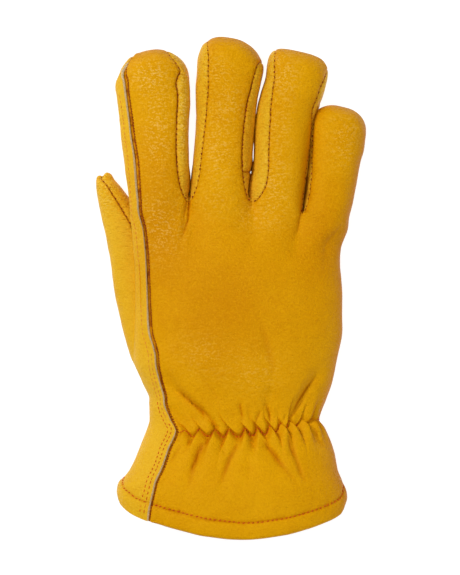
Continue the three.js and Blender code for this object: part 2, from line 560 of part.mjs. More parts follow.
// The palm panel rolls round the index finger's side and rides over the back panel.
const rideShares = [...INDEX_SIDE_SHARES].reverse();
const ride = (c) => LAP_RAISE * (1 - smooth((rideShares[c] - LAP_SHARE) / 0.22));
const rideLeather = (r, c) => (isHem(r) ? lerp(LEATHER, HEM_LEATHER, smooth((rideShares[c] - 0.3) / 0.3)) : LEATHER);
palm.addGrid(gridOf(HAND_STATIONS, rideShares, (row, s) => handSkin(indexStrip, s, row)),
  { raise: (r, c) => ride(c), leather: rideLeather });
palm.addGrid(gridOf(FINGER_ROWS, rideShares, (along, s) => wallPoint(0, 'left', along, s)),
  { raise: (r, c) => ride(c) * tipFade(FINGER_ROWS[r]) });

// The walls between the fingers. The ring finger's left piece runs round the crotch onto the middle finger.
const wallGrid = (i, side, rows) => {
  const grid = gridOf(rows, WALL_SHARES, (along, s) => wallPoint(i, side, along, s));
  return side === 'right' ? grid : reversed(grid);
};
sides.index_right.addGrid(wallGrid(0, 'right', FINGER_ROWS));
sides.middle_left.addGrid(wallGrid(1, 'left', FINGER_ROWS));
sides.middle_right.addGrid(wallGrid(1, 'right', FINGER_ROWS.slice(JOINT_ROWS)));
sides.ring_left.addGrid(wallGrid(1, 'right', FINGER_ROWS.slice(0, JOINT_ROWS + 1)));
sides.ring_left.addGrid(wallGrid(2, 'left', FINGER_ROWS));
sides.ring_right.addGrid(wallGrid(2, 'right', FINGER_ROWS));
sides.little_left.addGrid(wallGrid(3, 'left', FINGER_ROWS));

// The thumb's two halves, from the seam on its upper side round to the one below.
const seam = radians(THUMB_SEAM_ANGLE);
const thumbShares = fromEven(THUMB_COLUMNS);
thumbInner.addGrid(gridOf(THUMB_ROWS, thumbShares, (at, s) => thumbPoint(at, lerp(seam, -seam, s))));
thumbOuter.addGrid(gridOf(THUMB_ROWS, thumbShares, (at, s) => thumbPoint(at, lerp(2 * Math.PI - seam, seam, s))));

// Normals are shared by all the skins that meet at a point, so that walls keep their thickness across a seam.
const bodySkins = [back, palm, ...Object.values(sides)];
const allSkins = [...bodySkins, thumbOuter, thumbInner];
const normals = new Map();
for (const skin of allSkins) {
  for (const face of skin.faces) {
    const points = face.corners.map((key) => skin.corners.get(key).point);
    face.normal = new THREE.Vector3();
    for (let n = 1; n + 1 < points.length; n++) {
      const edge = points[n].clone().sub(points[0]);
      face.normal.add(edge.cross(points[n + 1].clone().sub(points[0])));
    }
    for (const key of face.corners) {
      if (!normals.has(key)) normals.set(key, new THREE.Vector3());
      normals.get(key).add(face.normal);
    }
  }
}
for (const normal of normals.values()) normal.normalize();

// Edges that belong to one face only, with the direction that leads into the panel.
function rimOf(skin) {
  const rim = new Map();
  for (const face of skin.faces) {
    face.corners.forEach((a, n) => {
      const b = face.corners[(n + 1) % face.corners.length];
      const key = edgeKey(a, b);
      if (rim.has(key)) rim.delete(key);
      else rim.set(key, { a, b, normal: face.normal });
    });
  }
  for (const edge of rim.values()) {
    const along = skin.corners.get(edge.b).point.clone().sub(skin.corners.get(edge.a).point);
    edge.inward = edge.normal.clone().cross(along).normalize();
  }
  return rim;
}

const rims = new Map(allSkins.map((skin) => [skin, rimOf(skin)]));
const rimCount = new Map();
for (const rim of rims.values()) {
  for (const key of rim.keys()) rimCount.set(key, (rimCount.get(key) ?? 0) + 1);
}
const meeting = new Map();
for (const skin of allSkins) {
  for (const key of skin.corners.keys()) meeting.set(key, (meeting.get(key) ?? 0) + 1);
}

// A wall: the skin raised as asked, drawn back by half the seam gap from its neighbours, and the same skin again one
// thickness further in, closed along every edge.
function wallOf(skin) {
  const drawn = new Map();
  for (const [key, edge] of rims.get(skin)) {
    if (rimCount.get(key) < 2) continue;
    for (const corner of [edge.a, edge.b]) drawn.set(corner, [...(drawn.get(corner) ?? []), edge.inward]);
  }
  const ids = new Map();
  const positions = [];
  for (const [key, corner] of skin.corners) {
    const normal = normals.get(key);
    const outer = corner.point.clone().addScaledVector(normal, corner.raise);
    const pulls = drawn.get(key) ?? [];
    if (pulls.length > 0) {
      const pull = pulls.reduce((sum, inward) => sum.add(inward), new THREE.Vector3());
      const facing = pulls.length > 1 ? 1 + pulls[0].dot(pulls[1]) : 1;
      const gap = meeting.get(key) > 2 || facing < 1.5 ? CORNER_GAP : SEAM_GAP;
      outer.addScaledVector(pull, gap / 2 / Math.max(0.3, facing));
    }
    const inner = outer.clone().addScaledVector(normal, -corner.leather);
    ids.set(key, positions.length / 3);
    positions.push(outer.x, outer.y, Math.max(0, outer.z), inner.x, inner.y, inner.z);
  }
  const indices = [];
  for (const face of skin.faces) {
    const ring = face.corners.map((key) => ids.get(key));
    for (let n = 1; n + 1 < ring.length; n++) {
      indices.push(ring[0], ring[n], ring[n + 1]);
      indices.push(ring[0] + 1, ring[n + 1] + 1, ring[n] + 1);
    }
  }
  for (const edge of rims.get(skin).values()) {
    const a = ids.get(edge.a);
    const b = ids.get(edge.b);
    indices.push(b, a, a + 1, b, a + 1, b + 1);
  }
  return { positions, indices };
}

// A closed form from a set of skins, offset from them by a distance, with its open end capped.
function formOf(skins, offset) {
  const ids = new Map();
  const positions = [];
  const indices = [];
  const rim = new Map();
  const idOf = (skin, key) => {
    if (!ids.has(key)) {
      const raise = Math.max(...skins.map((other) => other.corners.get(key)?.raise ?? 0));
      const point = skin.corners.get(key).point.clone().addScaledVector(normals.get(key), raise + offset);
      ids.set(key, positions.length / 3);
      positions.push(point.x, point.y, point.z);
    }
    return ids.get(key);
  };
  for (const skin of skins) {
    for (const face of skin.faces) {
      if (face.covered) continue;
      const ring = face.corners.map((key) => idOf(skin, key));
      for (let n = 1; n + 1 < ring.length; n++) indices.push(ring[0], ring[n], ring[n + 1]);
      ring.forEach((a, n) => {
        const b = ring[(n + 1) % ring.length];
        const key = edgeKey(a, b);
        if (rim.has(key)) rim.delete(key);
        else rim.set(key, [a, b]);
      });
    }
  }
  const centre = new THREE.Vector3();
  for (const [a] of rim.values()) centre.add(new THREE.Vector3(...positions.slice(3 * a, 3 * a + 3)));
  centre.divideScalar(rim.size);
  const middle = positions.length / 3;
  positions.push(centre.x, centre.y, centre.z);
  for (const [a, b] of rim.values()) indices.push(b, a, middle);
  return { positions, indices };
}

const wasm = await Module();
wasm.setup();
const solidOf = ({ positions, indices }) => {
  const mesh = new wasm.Mesh({
    numProp: 3, vertProperties: new Float32Array(positions), triVerts: new Uint32Array(indices),
  });
  mesh.merge();
  return new wasm.Manifold(mesh);
};
const largestOf = (solid) => {
  const pieces = solid.decompose();
  return pieces.reduce((best, piece) => (piece.volume() > best.volume() ? piece : best));
};
const shapeOf = (solid) => {
  const mesh = solid.getMesh();
  return { positions: Array.from(mesh.vertProperties), indices: Array.from(mesh.triVerts) };
};

const shapes = new Map(allSkins.map((skin) => [skin.name, wallOf(skin)]));

// The thumb is sewn on round a hole in the palm panel: the hand's form trims it, and its hollow cuts the hole.
const handForm = solidOf(formOf(bodySkins, SEAM_GAP));
const thumbHollow = solidOf(formOf([thumbOuter, thumbInner], -LEATHER));
for (const skin of [thumbOuter, thumbInner]) {
  shapes.set(skin.name, shapeOf(largestOf(solidOf(shapes.get(skin.name)).subtract(handForm))));
}
shapes.set(palm.name, shapeOf(largestOf(solidOf(shapes.get(palm.name)).subtract(thumbHollow))));

// The frame: the middle of the glove's footprint is the origin, and it rests on z = 0.
const bounds = new THREE.Box3();
for (const { positions } of shapes.values()) {
  for (let n = 0; n < positions.length; n += 3) {
    bounds.expandByPoint(new THREE.Vector3(positions[n], positions[n + 1], positions[n + 2]));
  }
}
const middle = bounds.getCenter(new THREE.Vector3());
const group = new THREE.Group();
group.name = 'rigger_glove';
for (const [name, { positions, indices }] of shapes) {
  const geometry = new THREE.BufferGeometry();
  geometry.setAttribute('position', new THREE.Float32BufferAttribute(positions, 3));
  geometry.setIndex(indices);
  geometry.translate(-middle.x, -middle.y, -bounds.min.z);
  geometry.computeVertexNormals();
  const colour = name.includes('fourchette') ? PALE_OCHRE : OCHRE;
  const mesh = new THREE.Mesh(geometry, new THREE.MeshStandardMaterial({ color: colour, roughness: 0.65 }));
  mesh.name = name;
  group.add(mesh);
}

export default group;
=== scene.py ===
"""Looks of the rigger glove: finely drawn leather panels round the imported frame, with their seams, folds and
stitches. The hand's own measures are in millimetres; every mesh is written in metres in the row's frame."""
import itertools
import json
import math

import bmesh
import bpy
import numpy as np
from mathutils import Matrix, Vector
from mathutils.bvhtree import BVHTree
from mathutils.kdtree import KDTree

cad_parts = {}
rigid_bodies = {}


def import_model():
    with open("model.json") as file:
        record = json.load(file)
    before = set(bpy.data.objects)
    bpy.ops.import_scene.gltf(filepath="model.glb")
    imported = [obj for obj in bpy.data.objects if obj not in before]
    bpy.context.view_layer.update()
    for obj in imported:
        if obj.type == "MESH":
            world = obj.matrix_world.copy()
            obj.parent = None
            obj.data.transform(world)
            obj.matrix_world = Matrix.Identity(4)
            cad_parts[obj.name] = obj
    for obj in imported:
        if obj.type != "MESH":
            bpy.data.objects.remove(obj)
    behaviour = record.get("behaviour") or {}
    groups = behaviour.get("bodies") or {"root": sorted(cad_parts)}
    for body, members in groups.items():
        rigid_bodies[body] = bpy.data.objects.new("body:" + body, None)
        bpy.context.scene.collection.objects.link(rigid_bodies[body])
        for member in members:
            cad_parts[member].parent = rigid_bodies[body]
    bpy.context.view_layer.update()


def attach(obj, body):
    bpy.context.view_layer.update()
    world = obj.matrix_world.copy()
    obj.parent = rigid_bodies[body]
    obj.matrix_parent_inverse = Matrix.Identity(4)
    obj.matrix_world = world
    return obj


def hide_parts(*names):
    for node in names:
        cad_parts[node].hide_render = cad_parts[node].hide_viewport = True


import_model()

MM = 0.001
FRAME_SHIFT = np.array([4.364, -125.422, 0.0])  # from the hand's own origin, at the hem, to the row's origin

# Leather and seams
LEATHER = 1.4
HEM_LEATHER = 3.0
HEM_HEIGHT = 8.5
LAP_RAISE = 1.6
LAP_SHARE = 0.16
LAP_END = 0.99  # the share of the index finger's length up to which its edge laps over
GROOVE_AWAY = 1.3
SEAM_ROLL = 1.5  # width over which a sewn edge rolls down into its seam
SEAM_DEPTH = 0.8
CROSS_SEAM_Y = 183.3

# Hand
HAND_LENGTH = 169.0
PALM_WIDTH = 103.0
PALM_DEPTH = 37.0
WRIST_WIDTH = 85.0
WRIST_DEPTH = 35.0
CUFF_WIDTH = 114.0
CUFF_DEPTH = 46.0
KNUCKLE_DEPTH = 31.0
HEM_BOW = 21.5
HEM_BOW_PALM = 8.0
WRIST_AT = 53.0
FIRST_CROTCH_X = 6.2
CROTCH_RISE = 5.0
KNUCKLE_BLEND = 34.0
KNUCKLE_BLEND_ACROSS = 14.0
FINGER_LIFT = 5.5
FINGER_TIP_START = 0.86
CAP_START = 0.58
PALM_SEAM_ACROSS = 0.68
MIDDLE_HEIGHT = 0.45
TOP_SQUARENESS = 2.3
UNDER_SQUARENESS = 3.0
UNDER_PRESS = 1.09
LITTLE_SIDE = math.radians(35)
PALM_SEAM = math.radians(-42) + 2 * math.pi
INDEX_SIDE = math.radians(225)
THUMB_ROOM = 6.5
THUMB_ROOM_AT = 0.9
THUMB_ROOM_REACH = 27.0

# Gathers
GATHER_RISE = 2.1
GATHER_PUFF = 1.9
GATHER_REACH = 9.0
GATHER_PINCH = 1.5
WRIST_CLIMB = 6.0
# Where the gather stitch turns, from the lapped edge to the little finger's side: every second turn is a peak
GATHER_X = [
    -32.0, -28.2, -23.7, -20.5, -15.7, -12.5, -8.0, -5.2, 0.0, 2.8, 7.0, 9.2, 13.7, 16.2, 20.0, 22.6, 25.8,
    27.7, 31.2, 34.4, 36.6, 39.5,
]
SIDE_TURN = math.radians(7)

# Thumb
THUMB_LENGTH = 106.0
THUMB_WIDTH = 30.0
THUMB_DEPTH = 20.0
THUMB_BASE_X = -33.5
THUMB_BASE_AT = 0.453
THUMB_SQUARENESS = 2.2
THUMB_SEAM = math.radians(76)  # below; above, the seam bends over to the tip
THUMB_SEAM_ACROSS = [
    (0.0, 0.28), (0.7, 0.285), (0.77, 0.265), (0.83, 0.2), (0.89, 0.12), (0.943, -0.02), (0.982, -0.42),
    (1.0, -0.55),
]
WEB_AT = 0.787
THUMB_CLEARANCE = 1.0


def table(keys, *rows):
    return [dict(zip(keys.split(), row)) for row in rows]


FINGERS = table(
    "name width length depth lean root left_drop right_drop cap slant bluntness",
    ("index", 36.5, 75.6, 25, -2.5, 0.804, 2, 0, 15.5, -1.3, 2.0),
    ("middle", 34.7, 81.5, 25, 3.4, 0.901, 0, 0.7, 17.5, 3.7, 2.4),
    ("ring", 31, 74.6, 24, 7.9, 0.816, 0.7, 6.5, 14.0, 3.4, 3.7),
    ("little", 27.3, 46.9, 22, 7.9, 0.862, 6.5, 10.5, 12.8, 3.0, 2.5),
)
FINGER_SIDES = {
    "index": table(
        "at left right", (0, -0.402, 0.401), (0.13, -0.436, 0.414), (0.27, -0.464, 0.426),
        (0.4, -0.493, 0.431), (0.53, -0.51, 0.449), (0.66, -0.525, 0.475), (0.73, -0.528, 0.475),
        (0.8, -0.512, 0.474),
    ),
    "middle": table(
        "at left right", (0, -0.45, 0.45), (0.12, -0.435, 0.428), (0.25, -0.438, 0.422),
        (0.37, -0.427, 0.427), (0.49, -0.429, 0.435), (0.61, -0.447, 0.452), (0.71, -0.46, 0.487),
        (0.79, -0.457, 0.52),
    ),
    "ring": table(
        "at left right", (0, -0.408, 0.408), (0.13, -0.438, 0.405), (0.26, -0.472, 0.403),
        (0.39, -0.513, 0.402), (0.52, -0.547, 0.402), (0.62, -0.555, 0.43), (0.72, -0.533, 0.495),
        (0.82, -0.485, 0.53),
    ),
    "little": table(
        "at left right", (0, -0.431, 0.431), (0.12, -0.428, 0.452), (0.3, -0.435, 0.476),
        (0.49, -0.45, 0.498), (0.63, -0.475, 0.533), (0.77, -0.505, 0.531),
    ),
}
FINGER_SEAMS = {
    "index": table(
        "at left right", (0, 0.72, 0.66), (0.3, 0.66, 0.625), (0.45, 0.69, 0.648), (0.6, 0.715, 0.655),
        (0.71, 0.735, 0.672), (0.78, 0.75, 0.64), (0.85, 0.785, 0.7), (0.9, 0.815, 0.765), (0.94, 0.81, 0.65),
        (0.97, 0.7, 0.5), (1, 0.55, 0.4),
    ),
    "middle": table(
        "at left right", (0, 0.8, 0.8), (0.2, 0.73, 0.69), (0.37, 0.71, 0.637), (0.48, 0.675, 0.648),
        (0.57, 0.64, 0.665), (0.68, 0.612, 0.715), (0.78, 0.66, 0.732), (0.88, 0.687, 0.765),
        (0.96, 0.73, 0.85), (1, 0.75, 0.93),
    ),
    "ring": table(
        "at left right", (0, 0.7, 0.95), (0.15, 0.45, 0.975), (0.37, 0.476, 0.98), (0.53, 0.49, 0.965),
        (0.65, 0.565, 0.85), (0.77, 0.672, 0.85), (0.92, 0.783, 0.92), (1, 0.8, 0.96),
    ),
    "little": table("at left right", (0, 0.87, 0.75), (0.3, 0.86, 0.75), (0.6, 0.92, 0.78), (1, 0.93, 0.85)),
}
HAND_SECTIONS = table(
    "at width left right depth top raw_edge",
    (0, CUFF_WIDTH, -0.535, 0.467, CUFF_DEPTH, 1.0, 0.742),
    (0.106, CUFF_WIDTH, -0.535, 0.467, CUFF_DEPTH, 0.99, 0.702),
    (0.154, CUFF_WIDTH, -0.527, 0.457, CUFF_DEPTH, 0.97, 0.68),
    (0.201, CUFF_WIDTH, -0.478, 0.43, CUFF_DEPTH, 0.92, 0.7),
    (0.26, CUFF_WIDTH, -0.439, 0.412, CUFF_DEPTH, 0.85, 0.7),
    (0.315, WRIST_WIDTH, -0.547, 0.51, WRIST_DEPTH, 1.03, 0.671),
    (0.349, WRIST_WIDTH, -0.529, 0.471, WRIST_DEPTH, 1.0, 0.746),
    (0.408, WRIST_WIDTH, -0.529, 0.512, WRIST_DEPTH, 1.02, 0.826),
    (0.464, WRIST_WIDTH, -0.576, 0.553, PALM_DEPTH, 0.99, 0.805),
    (0.527, PALM_WIDTH, -0.515, 0.476, PALM_DEPTH, 1.0, 0.775),
    (0.615, PALM_WIDTH, -0.505, 0.5, PALM_DEPTH, 1.0, 0.86),
    (0.704, PALM_WIDTH, -0.5, 0.5, PALM_DEPTH, 0.99, 0.887),
    (0.822, PALM_WIDTH, -0.503, 0.49, PALM_DEPTH, 0.95, 0.897),
    (0.911, PALM_WIDTH, -0.515, 0.51, KNUCKLE_DEPTH, 1.07, 0.905),
    (1.0, PALM_WIDTH, -0.528, 0.549, KNUCKLE_DEPTH, 1.0, 0.93),
)
HEM_CURVE = table(
    "at up", (-1, 1), (-0.94, 0.79), (-0.82, 0.57), (-0.58, 0.35), (-0.36, 0.2), (-0.19, 0.1),
    (0.15, 0.02), (0.48, 0.12), (0.64, 0.23), (0.8, 0.37), (0.95, 0.56), (1, 0.85),
)
THUMB_SECTIONS = table(
    "at aside wide thick height",
    (0, -0.03, 0.38, 0.42, 0.82), (0.165, -0.075, 0.48, 0.5, 0.66), (0.4, -0.124, 0.51, 0.5, 0.52),
    (0.59, -0.168, 0.45, 0.47, 0.46), (0.73, -0.215, 0.385, 0.44, 0.43), (0.873, -0.278, 0.267, 0.36, 0.36),
    (0.943, -0.311, 0.19, 0.28, 0.3), (0.985, -0.33, 0.1, 0.14, 0.26), (1, -0.336, 0, 0, 0.25),
)
FOLD_WIDTH = 4.0
FOLDS = table(
    "fromX fromY toX toY height width",
    (-0.35, 0.47, -0.19, 0.345, -2.2, 1.0),
    (-0.33, 0.38, -0.24, 0.325, -1.6, 0.8),
    (0.37, 0.48, 0.26, 0.36, -2.0, 0.9),
    (0.14, 0.43, 0.155, 0.35, -1.4, 0.9),
    (0.07, 0.3, 0.2, 0.22, -1.4, 1.0),
    (-0.19, 0.3, -0.2, 0.23, -1.2, 0.9),
)


def lerp(a, b, t):
    return a + (b - a) * t


def smooth(t):
    t = np.clip(t, 0.0, 1.0)
    return t * t * (3 - 2 * t)


def bell(distance, width):
    """One at no distance, and fading to nothing over a few widths."""
    return np.exp(-((distance / width) ** 2))


def power(value, exponent):
    return np.sign(value) * np.abs(value) ** exponent


def column(rows, key, at):
    """A column of a table at a station, by a cubic that doesn't overshoot its rows."""
    xs = np.array([row["at"] for row in rows], float)
    ys = np.array([row[key] for row in rows], float)
    slopes = np.diff(ys) / np.diff(xs)
    tangents = np.concatenate([slopes[:1], np.zeros(len(xs) - 2), slopes[-1:]])
    before, after = slopes[:-1], slopes[1:]
    together = before * after > 0
    total = np.where(together, before + after, 1.0)
    tangents[1:-1] = np.where(together, 2 * before * after / total, 0.0)
    at = np.clip(np.asarray(at, float), xs[0], xs[-1])
    i = np.clip(np.searchsorted(xs, at, side="left") - 1, 0, len(xs) - 2)
    span = xs[i + 1] - xs[i]
    t = (at - xs[i]) / span
    rise = ys[i + 1] - ys[i]
    start, end = tangents[i] * span, tangents[i + 1] * span
    return ys[i] + start * t + (3 * rise - 2 * start - end) * t**2 + (start + end - 2 * rise) * t**3


HAND_OUTLINE = [
    {"at": row["at"], "left": row["width"] * row["left"], "right": row["width"] * row["right"],
     "top": row["depth"] * row["top"], "raw_edge": row["raw_edge"]}
    for row in HAND_SECTIONS
]


def point(x, y, z):
    return np.stack(np.broadcast_arrays(x, y, z), axis=-1).astype(float)


def room_for_thumb(y, across):
    near = bell(y - THUMB_ROOM_AT * HAND_LENGTH, THUMB_ROOM_REACH)
    return THUMB_ROOM * near * smooth((-across - 0.3) / 0.7)


def section_height(sine, top, middle, under):
    above = middle + (top - middle) * np.abs(sine) ** (2 / TOP_SQUARENESS)
    below = middle - (middle - under) * UNDER_PRESS * np.abs(sine) ** (2 / UNDER_SQUARENESS)
    return np.where(sine >= 0, above, np.maximum(under, below))


def raw_edge_angle(y):
    across = column(HAND_OUTLINE, "raw_edge", y / HAND_LENGTH)
    return math.pi - np.arccos(across ** (TOP_SQUARENESS / 2))


def hand_point(y, angle):
    at = y / HAND_LENGTH
    left = column(HAND_OUTLINE, "left", at)
    right = column(HAND_OUTLINE, "right", at)
    top = column(HAND_OUTLINE, "top", at)
    across = power(np.cos(angle), 2 / TOP_SQUARENESS)
    middle = top * MIDDLE_HEIGHT + room_for_thumb(y, across)
    z = section_height(np.sin(angle), top, middle, 0.0)
    return point((left + right) / 2 + (right - left) / 2 * across, y, z)


CROTCH_X = [
    FIRST_CROTCH_X - FINGERS[1]["root"] * FINGERS[1]["width"],
    FIRST_CROTCH_X,
    FIRST_CROTCH_X + FINGERS[2]["root"] * FINGERS[2]["width"],
]
ROOT_LEFT = [CROTCH_X[0] - FINGERS[0]["root"] * FINGERS[0]["width"]] + CROTCH_X
CROTCH_DROPS = [FINGERS[i]["left_drop"] for i in (1, 2, 3)]
for number, finger in enumerate(FINGERS):
    finger["sides"] = FINGER_SIDES[finger["name"]]
    finger["seams"] = FINGER_SEAMS[finger["name"]]
    finger["axis_x"] = ROOT_LEFT[number] - finger["sides"][0]["left"] * finger["width"]
    finger["root_y"] = HAND_LENGTH - (finger["left_drop"] + finger["right_drop"]) / 2
    finger["root_slope"] = (finger["left_drop"] - finger["right_drop"]) / 2
    finger["reach"] = finger["length"] + HAND_LENGTH - finger["root_y"]


def finger_point(finger, along, angle):
    across = power(np.cos(angle), 2 / TOP_SQUARENESS)
    blunt = finger["bluntness"]
    inside = np.clip(1 - np.abs(across) ** blunt, 0, 1) ** (1 / blunt)
    drop = finger["cap"] * (1 - inside) + finger["slant"] * across
    drop = drop * smooth((along - CAP_START) / (1 - CAP_START))
    up = along * finger["reach"] + finger["root_slope"] * across * (1 - along) - drop
    at = up / finger["reach"]
    left = column(finger["sides"], "left", at) * finger["width"]
    right = column(finger["sides"], "right", at) * finger["width"]
    lean = math.tan(math.radians(finger["lean"]))
    x = finger["axis_x"] + lean * up + (left + right) / 2 + (right - left) / 2 * across
    lift = FINGER_LIFT * (1 - smooth(along / 0.7))
    closing = np.clip((along - FINGER_TIP_START) / (1 - FINGER_TIP_START), 0, 1)
    opened = np.sqrt(1 - closing * closing)
    room = room_for_thumb(finger["root_y"] + up, across) if finger["name"] == "index" else 0.0
    middle = finger["depth"] * MIDDLE_HEIGHT + lift + room
    full = section_height(np.sin(angle), finger["depth"] + lift, middle, lift)
    return point(x, finger["root_y"] + up, middle + (full - middle) * opened)


def seam_angle(finger, along, side, upper):
    above = column(finger["seams"], side, along)
    under = lerp(PALM_SEAM_ACROSS, column(finger["seams"], side, 1.0), smooth((along - 0.75) / 0.25))
    quarter = np.arccos((above if upper else under) ** (TOP_SQUARENESS / 2))
    if side == "right":
        return quarter if upper else -quarter
    return math.pi - quarter if upper else math.pi + quarter


def crotch_point(gap, down):
    y = HAND_LENGTH - CROTCH_DROPS[gap] + CROTCH_RISE * np.sin(down * math.pi / 2)
    return point(CROTCH_X[gap], y, lerp(KNUCKLE_DEPTH * 0.8, FINGER_LIFT * 0.8, down))


CROTCH_LENGTH = 0.24
# One value for each gap between two fingers, from the index finger's to the little finger's
CROTCH_ROUNDNESS = [0.8, 0.5, 0.9]
TOUCH = [1.3, 1.3, 1.7]  # how far its walls lean on each other, low down
TOUCH_END = [0.24, 0.3, 0.75]  # the share of the fingers' length up to which they do
GAP_BEND = [0.0, 2.3, 0.0]  # how far it bends aside near its crotch
WALL_SWELL = [2.4, 0.8, 0.0]  # how far its left-hand wall is swollen upwards


def crotch_share(gap, along):
    t = np.clip(along / CROTCH_LENGTH, 0, 1)
    return (1 - (1 - t) ** 2) ** CROTCH_ROUNDNESS[gap]


def wall_point(i, side, along, down):
    finger = FINGERS[i]
    angle = lerp(seam_angle(finger, along, side, True), seam_angle(finger, along, side, False), down)
    place = finger_point(finger, along, angle)
    gap = i - 1 if side == "left" else i
    if gap < 0 or gap > 2:
        return place
    along, down = np.broadcast_arrays(along, down)
    leaning = smooth((down - 0.3) / 0.5) * smooth(along / 0.06) * smooth((TOUCH_END[gap] - along) / 0.08)
    place[..., 0] += TOUCH[gap] * leaning * (1 if side == "right" else -1)
    if side == "right":
        swollen = np.sin(math.pi * np.clip(down / 0.65, 0, 1)) * smooth(along / 0.25)
        place[..., 2] += WALL_SWELL[gap] * swollen * smooth((1 - along) / 0.15)
    place = lerp(crotch_point(gap, down), place, crotch_share(gap, along)[..., None])
    place[..., 0] -= GAP_BEND[gap] * np.sin(math.pi * down) * (1 - smooth(along / 0.28))
    return place


def face_point(i, upper, along, share):
    finger = FINGERS[i]
    start = seam_angle(finger, along, "left", upper)
    end = seam_angle(finger, along, "right", upper)
    if not upper:
        end = end + 2 * math.pi
    place = finger_point(finger, along, lerp(start, end, share))
    along, share = np.broadcast_arrays(along, share)
    for side, angle, near in (("left", start, 1 - share), ("right", end, share)):
        drawn = wall_point(i, side, along, np.full(along.shape, 0.0 if upper else 1.0))
        place = place + (drawn - finger_point(finger, along, angle)) * (near**2.5)[..., None]
    return place


def crotch_shares(start, end, upper):
    right = hand_point(HAND_LENGTH, 0.0)[0]
    left = hand_point(HAND_LENGTH, math.pi)[0]
    shares = []
    for x in CROTCH_X:
        quarter = math.acos(power(2 * (x - left) / (right - left) - 1, TOP_SQUARENESS / 2))
        shares.append(((quarter if upper else 2 * math.pi - quarter) - start) / (end - start))
    return shares


UPPER_SHARES = [0, *crotch_shares(raw_edge_angle(HAND_LENGTH), LITTLE_SIDE, True), 1]
UNDER_SHARES = [0, *crotch_shares(INDEX_SIDE, PALM_SEAM, False), 1]


def strip_angle(strip, share, y):
    kind, i = strip
    if kind == "back":
        return lerp(raw_edge_angle(y), LITTLE_SIDE, lerp(UPPER_SHARES[i], UPPER_SHARES[i + 1], share))
    if kind == "palm":
        return lerp(INDEX_SIDE, PALM_SEAM, lerp(UNDER_SHARES[i], UNDER_SHARES[i + 1], share)) + 0 * y
    if kind == "little_side":
        return lerp(LITTLE_SIDE, PALM_SEAM - 2 * math.pi, share) + 0 * y
    return lerp(raw_edge_angle(y), INDEX_SIDE, share)


def root_point(strip, share):
    kind, i = strip
    zero = np.zeros_like(share)
    if kind == "back":
        return face_point(i, True, zero, share)
    if kind == "palm":
        return face_point(i, False, zero, share)
    if kind == "little_side":
        return wall_point(3, "right", zero, share)
    return wall_point(0, "left", zero, share)


def hem_y(angle):
    across = power(np.cos(angle), 2 / TOP_SQUARENESS)
    rise = np.sin(angle)
    upper = HEM_BOW * column(HEM_CURVE, "up", across)
    corner = lerp(HEM_CURVE[0]["up"], HEM_CURVE[-1]["up"], (1 + across) / 2)
    lower = HEM_BOW * (corner - 0.7 * rise * (1 + rise) ** 2) - HEM_BOW_PALM * smooth(-rise)
    return np.where(rise >= 0, upper, lower)


def wrist_y(angle):
    return WRIST_AT + WRIST_CLIMB * smooth(np.cos(angle))


def thumb_section(at):
    return (
        THUMB_BASE_X + column(THUMB_SECTIONS, "aside", at) * THUMB_LENGTH,
        THUMB_BASE_AT * HAND_LENGTH + at * THUMB_LENGTH,
        column(THUMB_SECTIONS, "wide", at) * THUMB_WIDTH,
        column(THUMB_SECTIONS, "thick", at) * THUMB_DEPTH,
        column(THUMB_SECTIONS, "height", at) * THUMB_DEPTH,
    )


def thumb_point(at, angle):
    x, y, half, rise, middle = thumb_section(at)
    z = middle + rise * power(np.sin(angle), 2 / THUMB_SQUARENESS)
    return point(x + half * power(np.cos(angle), 2 / THUMB_SQUARENESS), y, np.maximum(0.0, z))


def draped_over_thumb(places):
    at = (places[..., 1] - THUMB_BASE_AT * HAND_LENGTH) / THUMB_LENGTH
    free = smooth((places[..., 1] - WEB_AT * HAND_LENGTH) / 10) * smooth((HAND_LENGTH - places[..., 1]) / 9)
    free = np.where((at > 0) & (at < 1), free, 0.0)
    x, _, half, rise, middle = thumb_section(np.clip(at, 0, 0.999))
    aside = np.abs(places[..., 0] - x) / np.maximum(half, 0.1)
    height = (middle + rise + THUMB_CLEARANCE) * smooth((1.7 - aside) / 1.1)
    places[..., 2] += np.maximum(0, height - places[..., 2]) * free
    return places


def folded(places, angle):
    on_back = smooth(np.sin(angle) / 0.5)
    for fold in FOLDS:
        start = np.array([fold["fromX"] * PALM_WIDTH, fold["fromY"] * HAND_LENGTH])
        run = np.array([fold["toX"] * PALM_WIDTH, fold["toY"] * HAND_LENGTH]) - start
        off = places[..., :2] - start
        along = off @ run / (run @ run)
        aside = np.abs(off[..., 0] * run[1] - off[..., 1] * run[0]) / math.hypot(*run)
        ends = smooth((along + 0.35) / 0.5) * smooth((1.25 - along) / 0.4)
        places[..., 2] += fold["height"] * bell(aside, FOLD_WIDTH * fold["width"]) * ends * on_back
    return places


def gather_turns():
    """The gather stitch's turns as angles round the wrist, with a number for each."""
    at = WRIST_AT / HAND_LENGTH
    left, right = column(HAND_OUTLINE, "left", at), column(HAND_OUTLINE, "right", at)
    across = (2 * np.array(GATHER_X) - left - right) / (right - left)
    angles = np.arccos(power(across, TOP_SQUARENESS / 2))
    angles = np.concatenate([angles, angles[-1] - SIDE_TURN * np.arange(1, 12)])
    return angles[::-1], np.arange(1, len(angles) + 1)[::-1]


TURN_ANGLES, TURNS = gather_turns()
LOBES = 64
# How far each lobe's folds run up the hand and down the cuff, in turn
LOBE_UP = np.random.default_rng(21).uniform(3.5, 9.5, LOBES)
LOBE_DOWN = np.random.default_rng(22).uniform(4.0, 11.0, LOBES)


def lobe_reach(corner):
    """How far the folds at a place along the stitch run up and down."""
    return np.interp(corner, np.arange(LOBES), LOBE_UP), np.interp(corner, np.arange(LOBES), LOBE_DOWN)


def gather_wave(corner):
    """The stitch's zigzag: pointed at its peaks and round in its valleys, from -1 to 1."""
    return 1 - 2 * np.abs(np.sin(math.pi * corner / 2)) ** 1.35


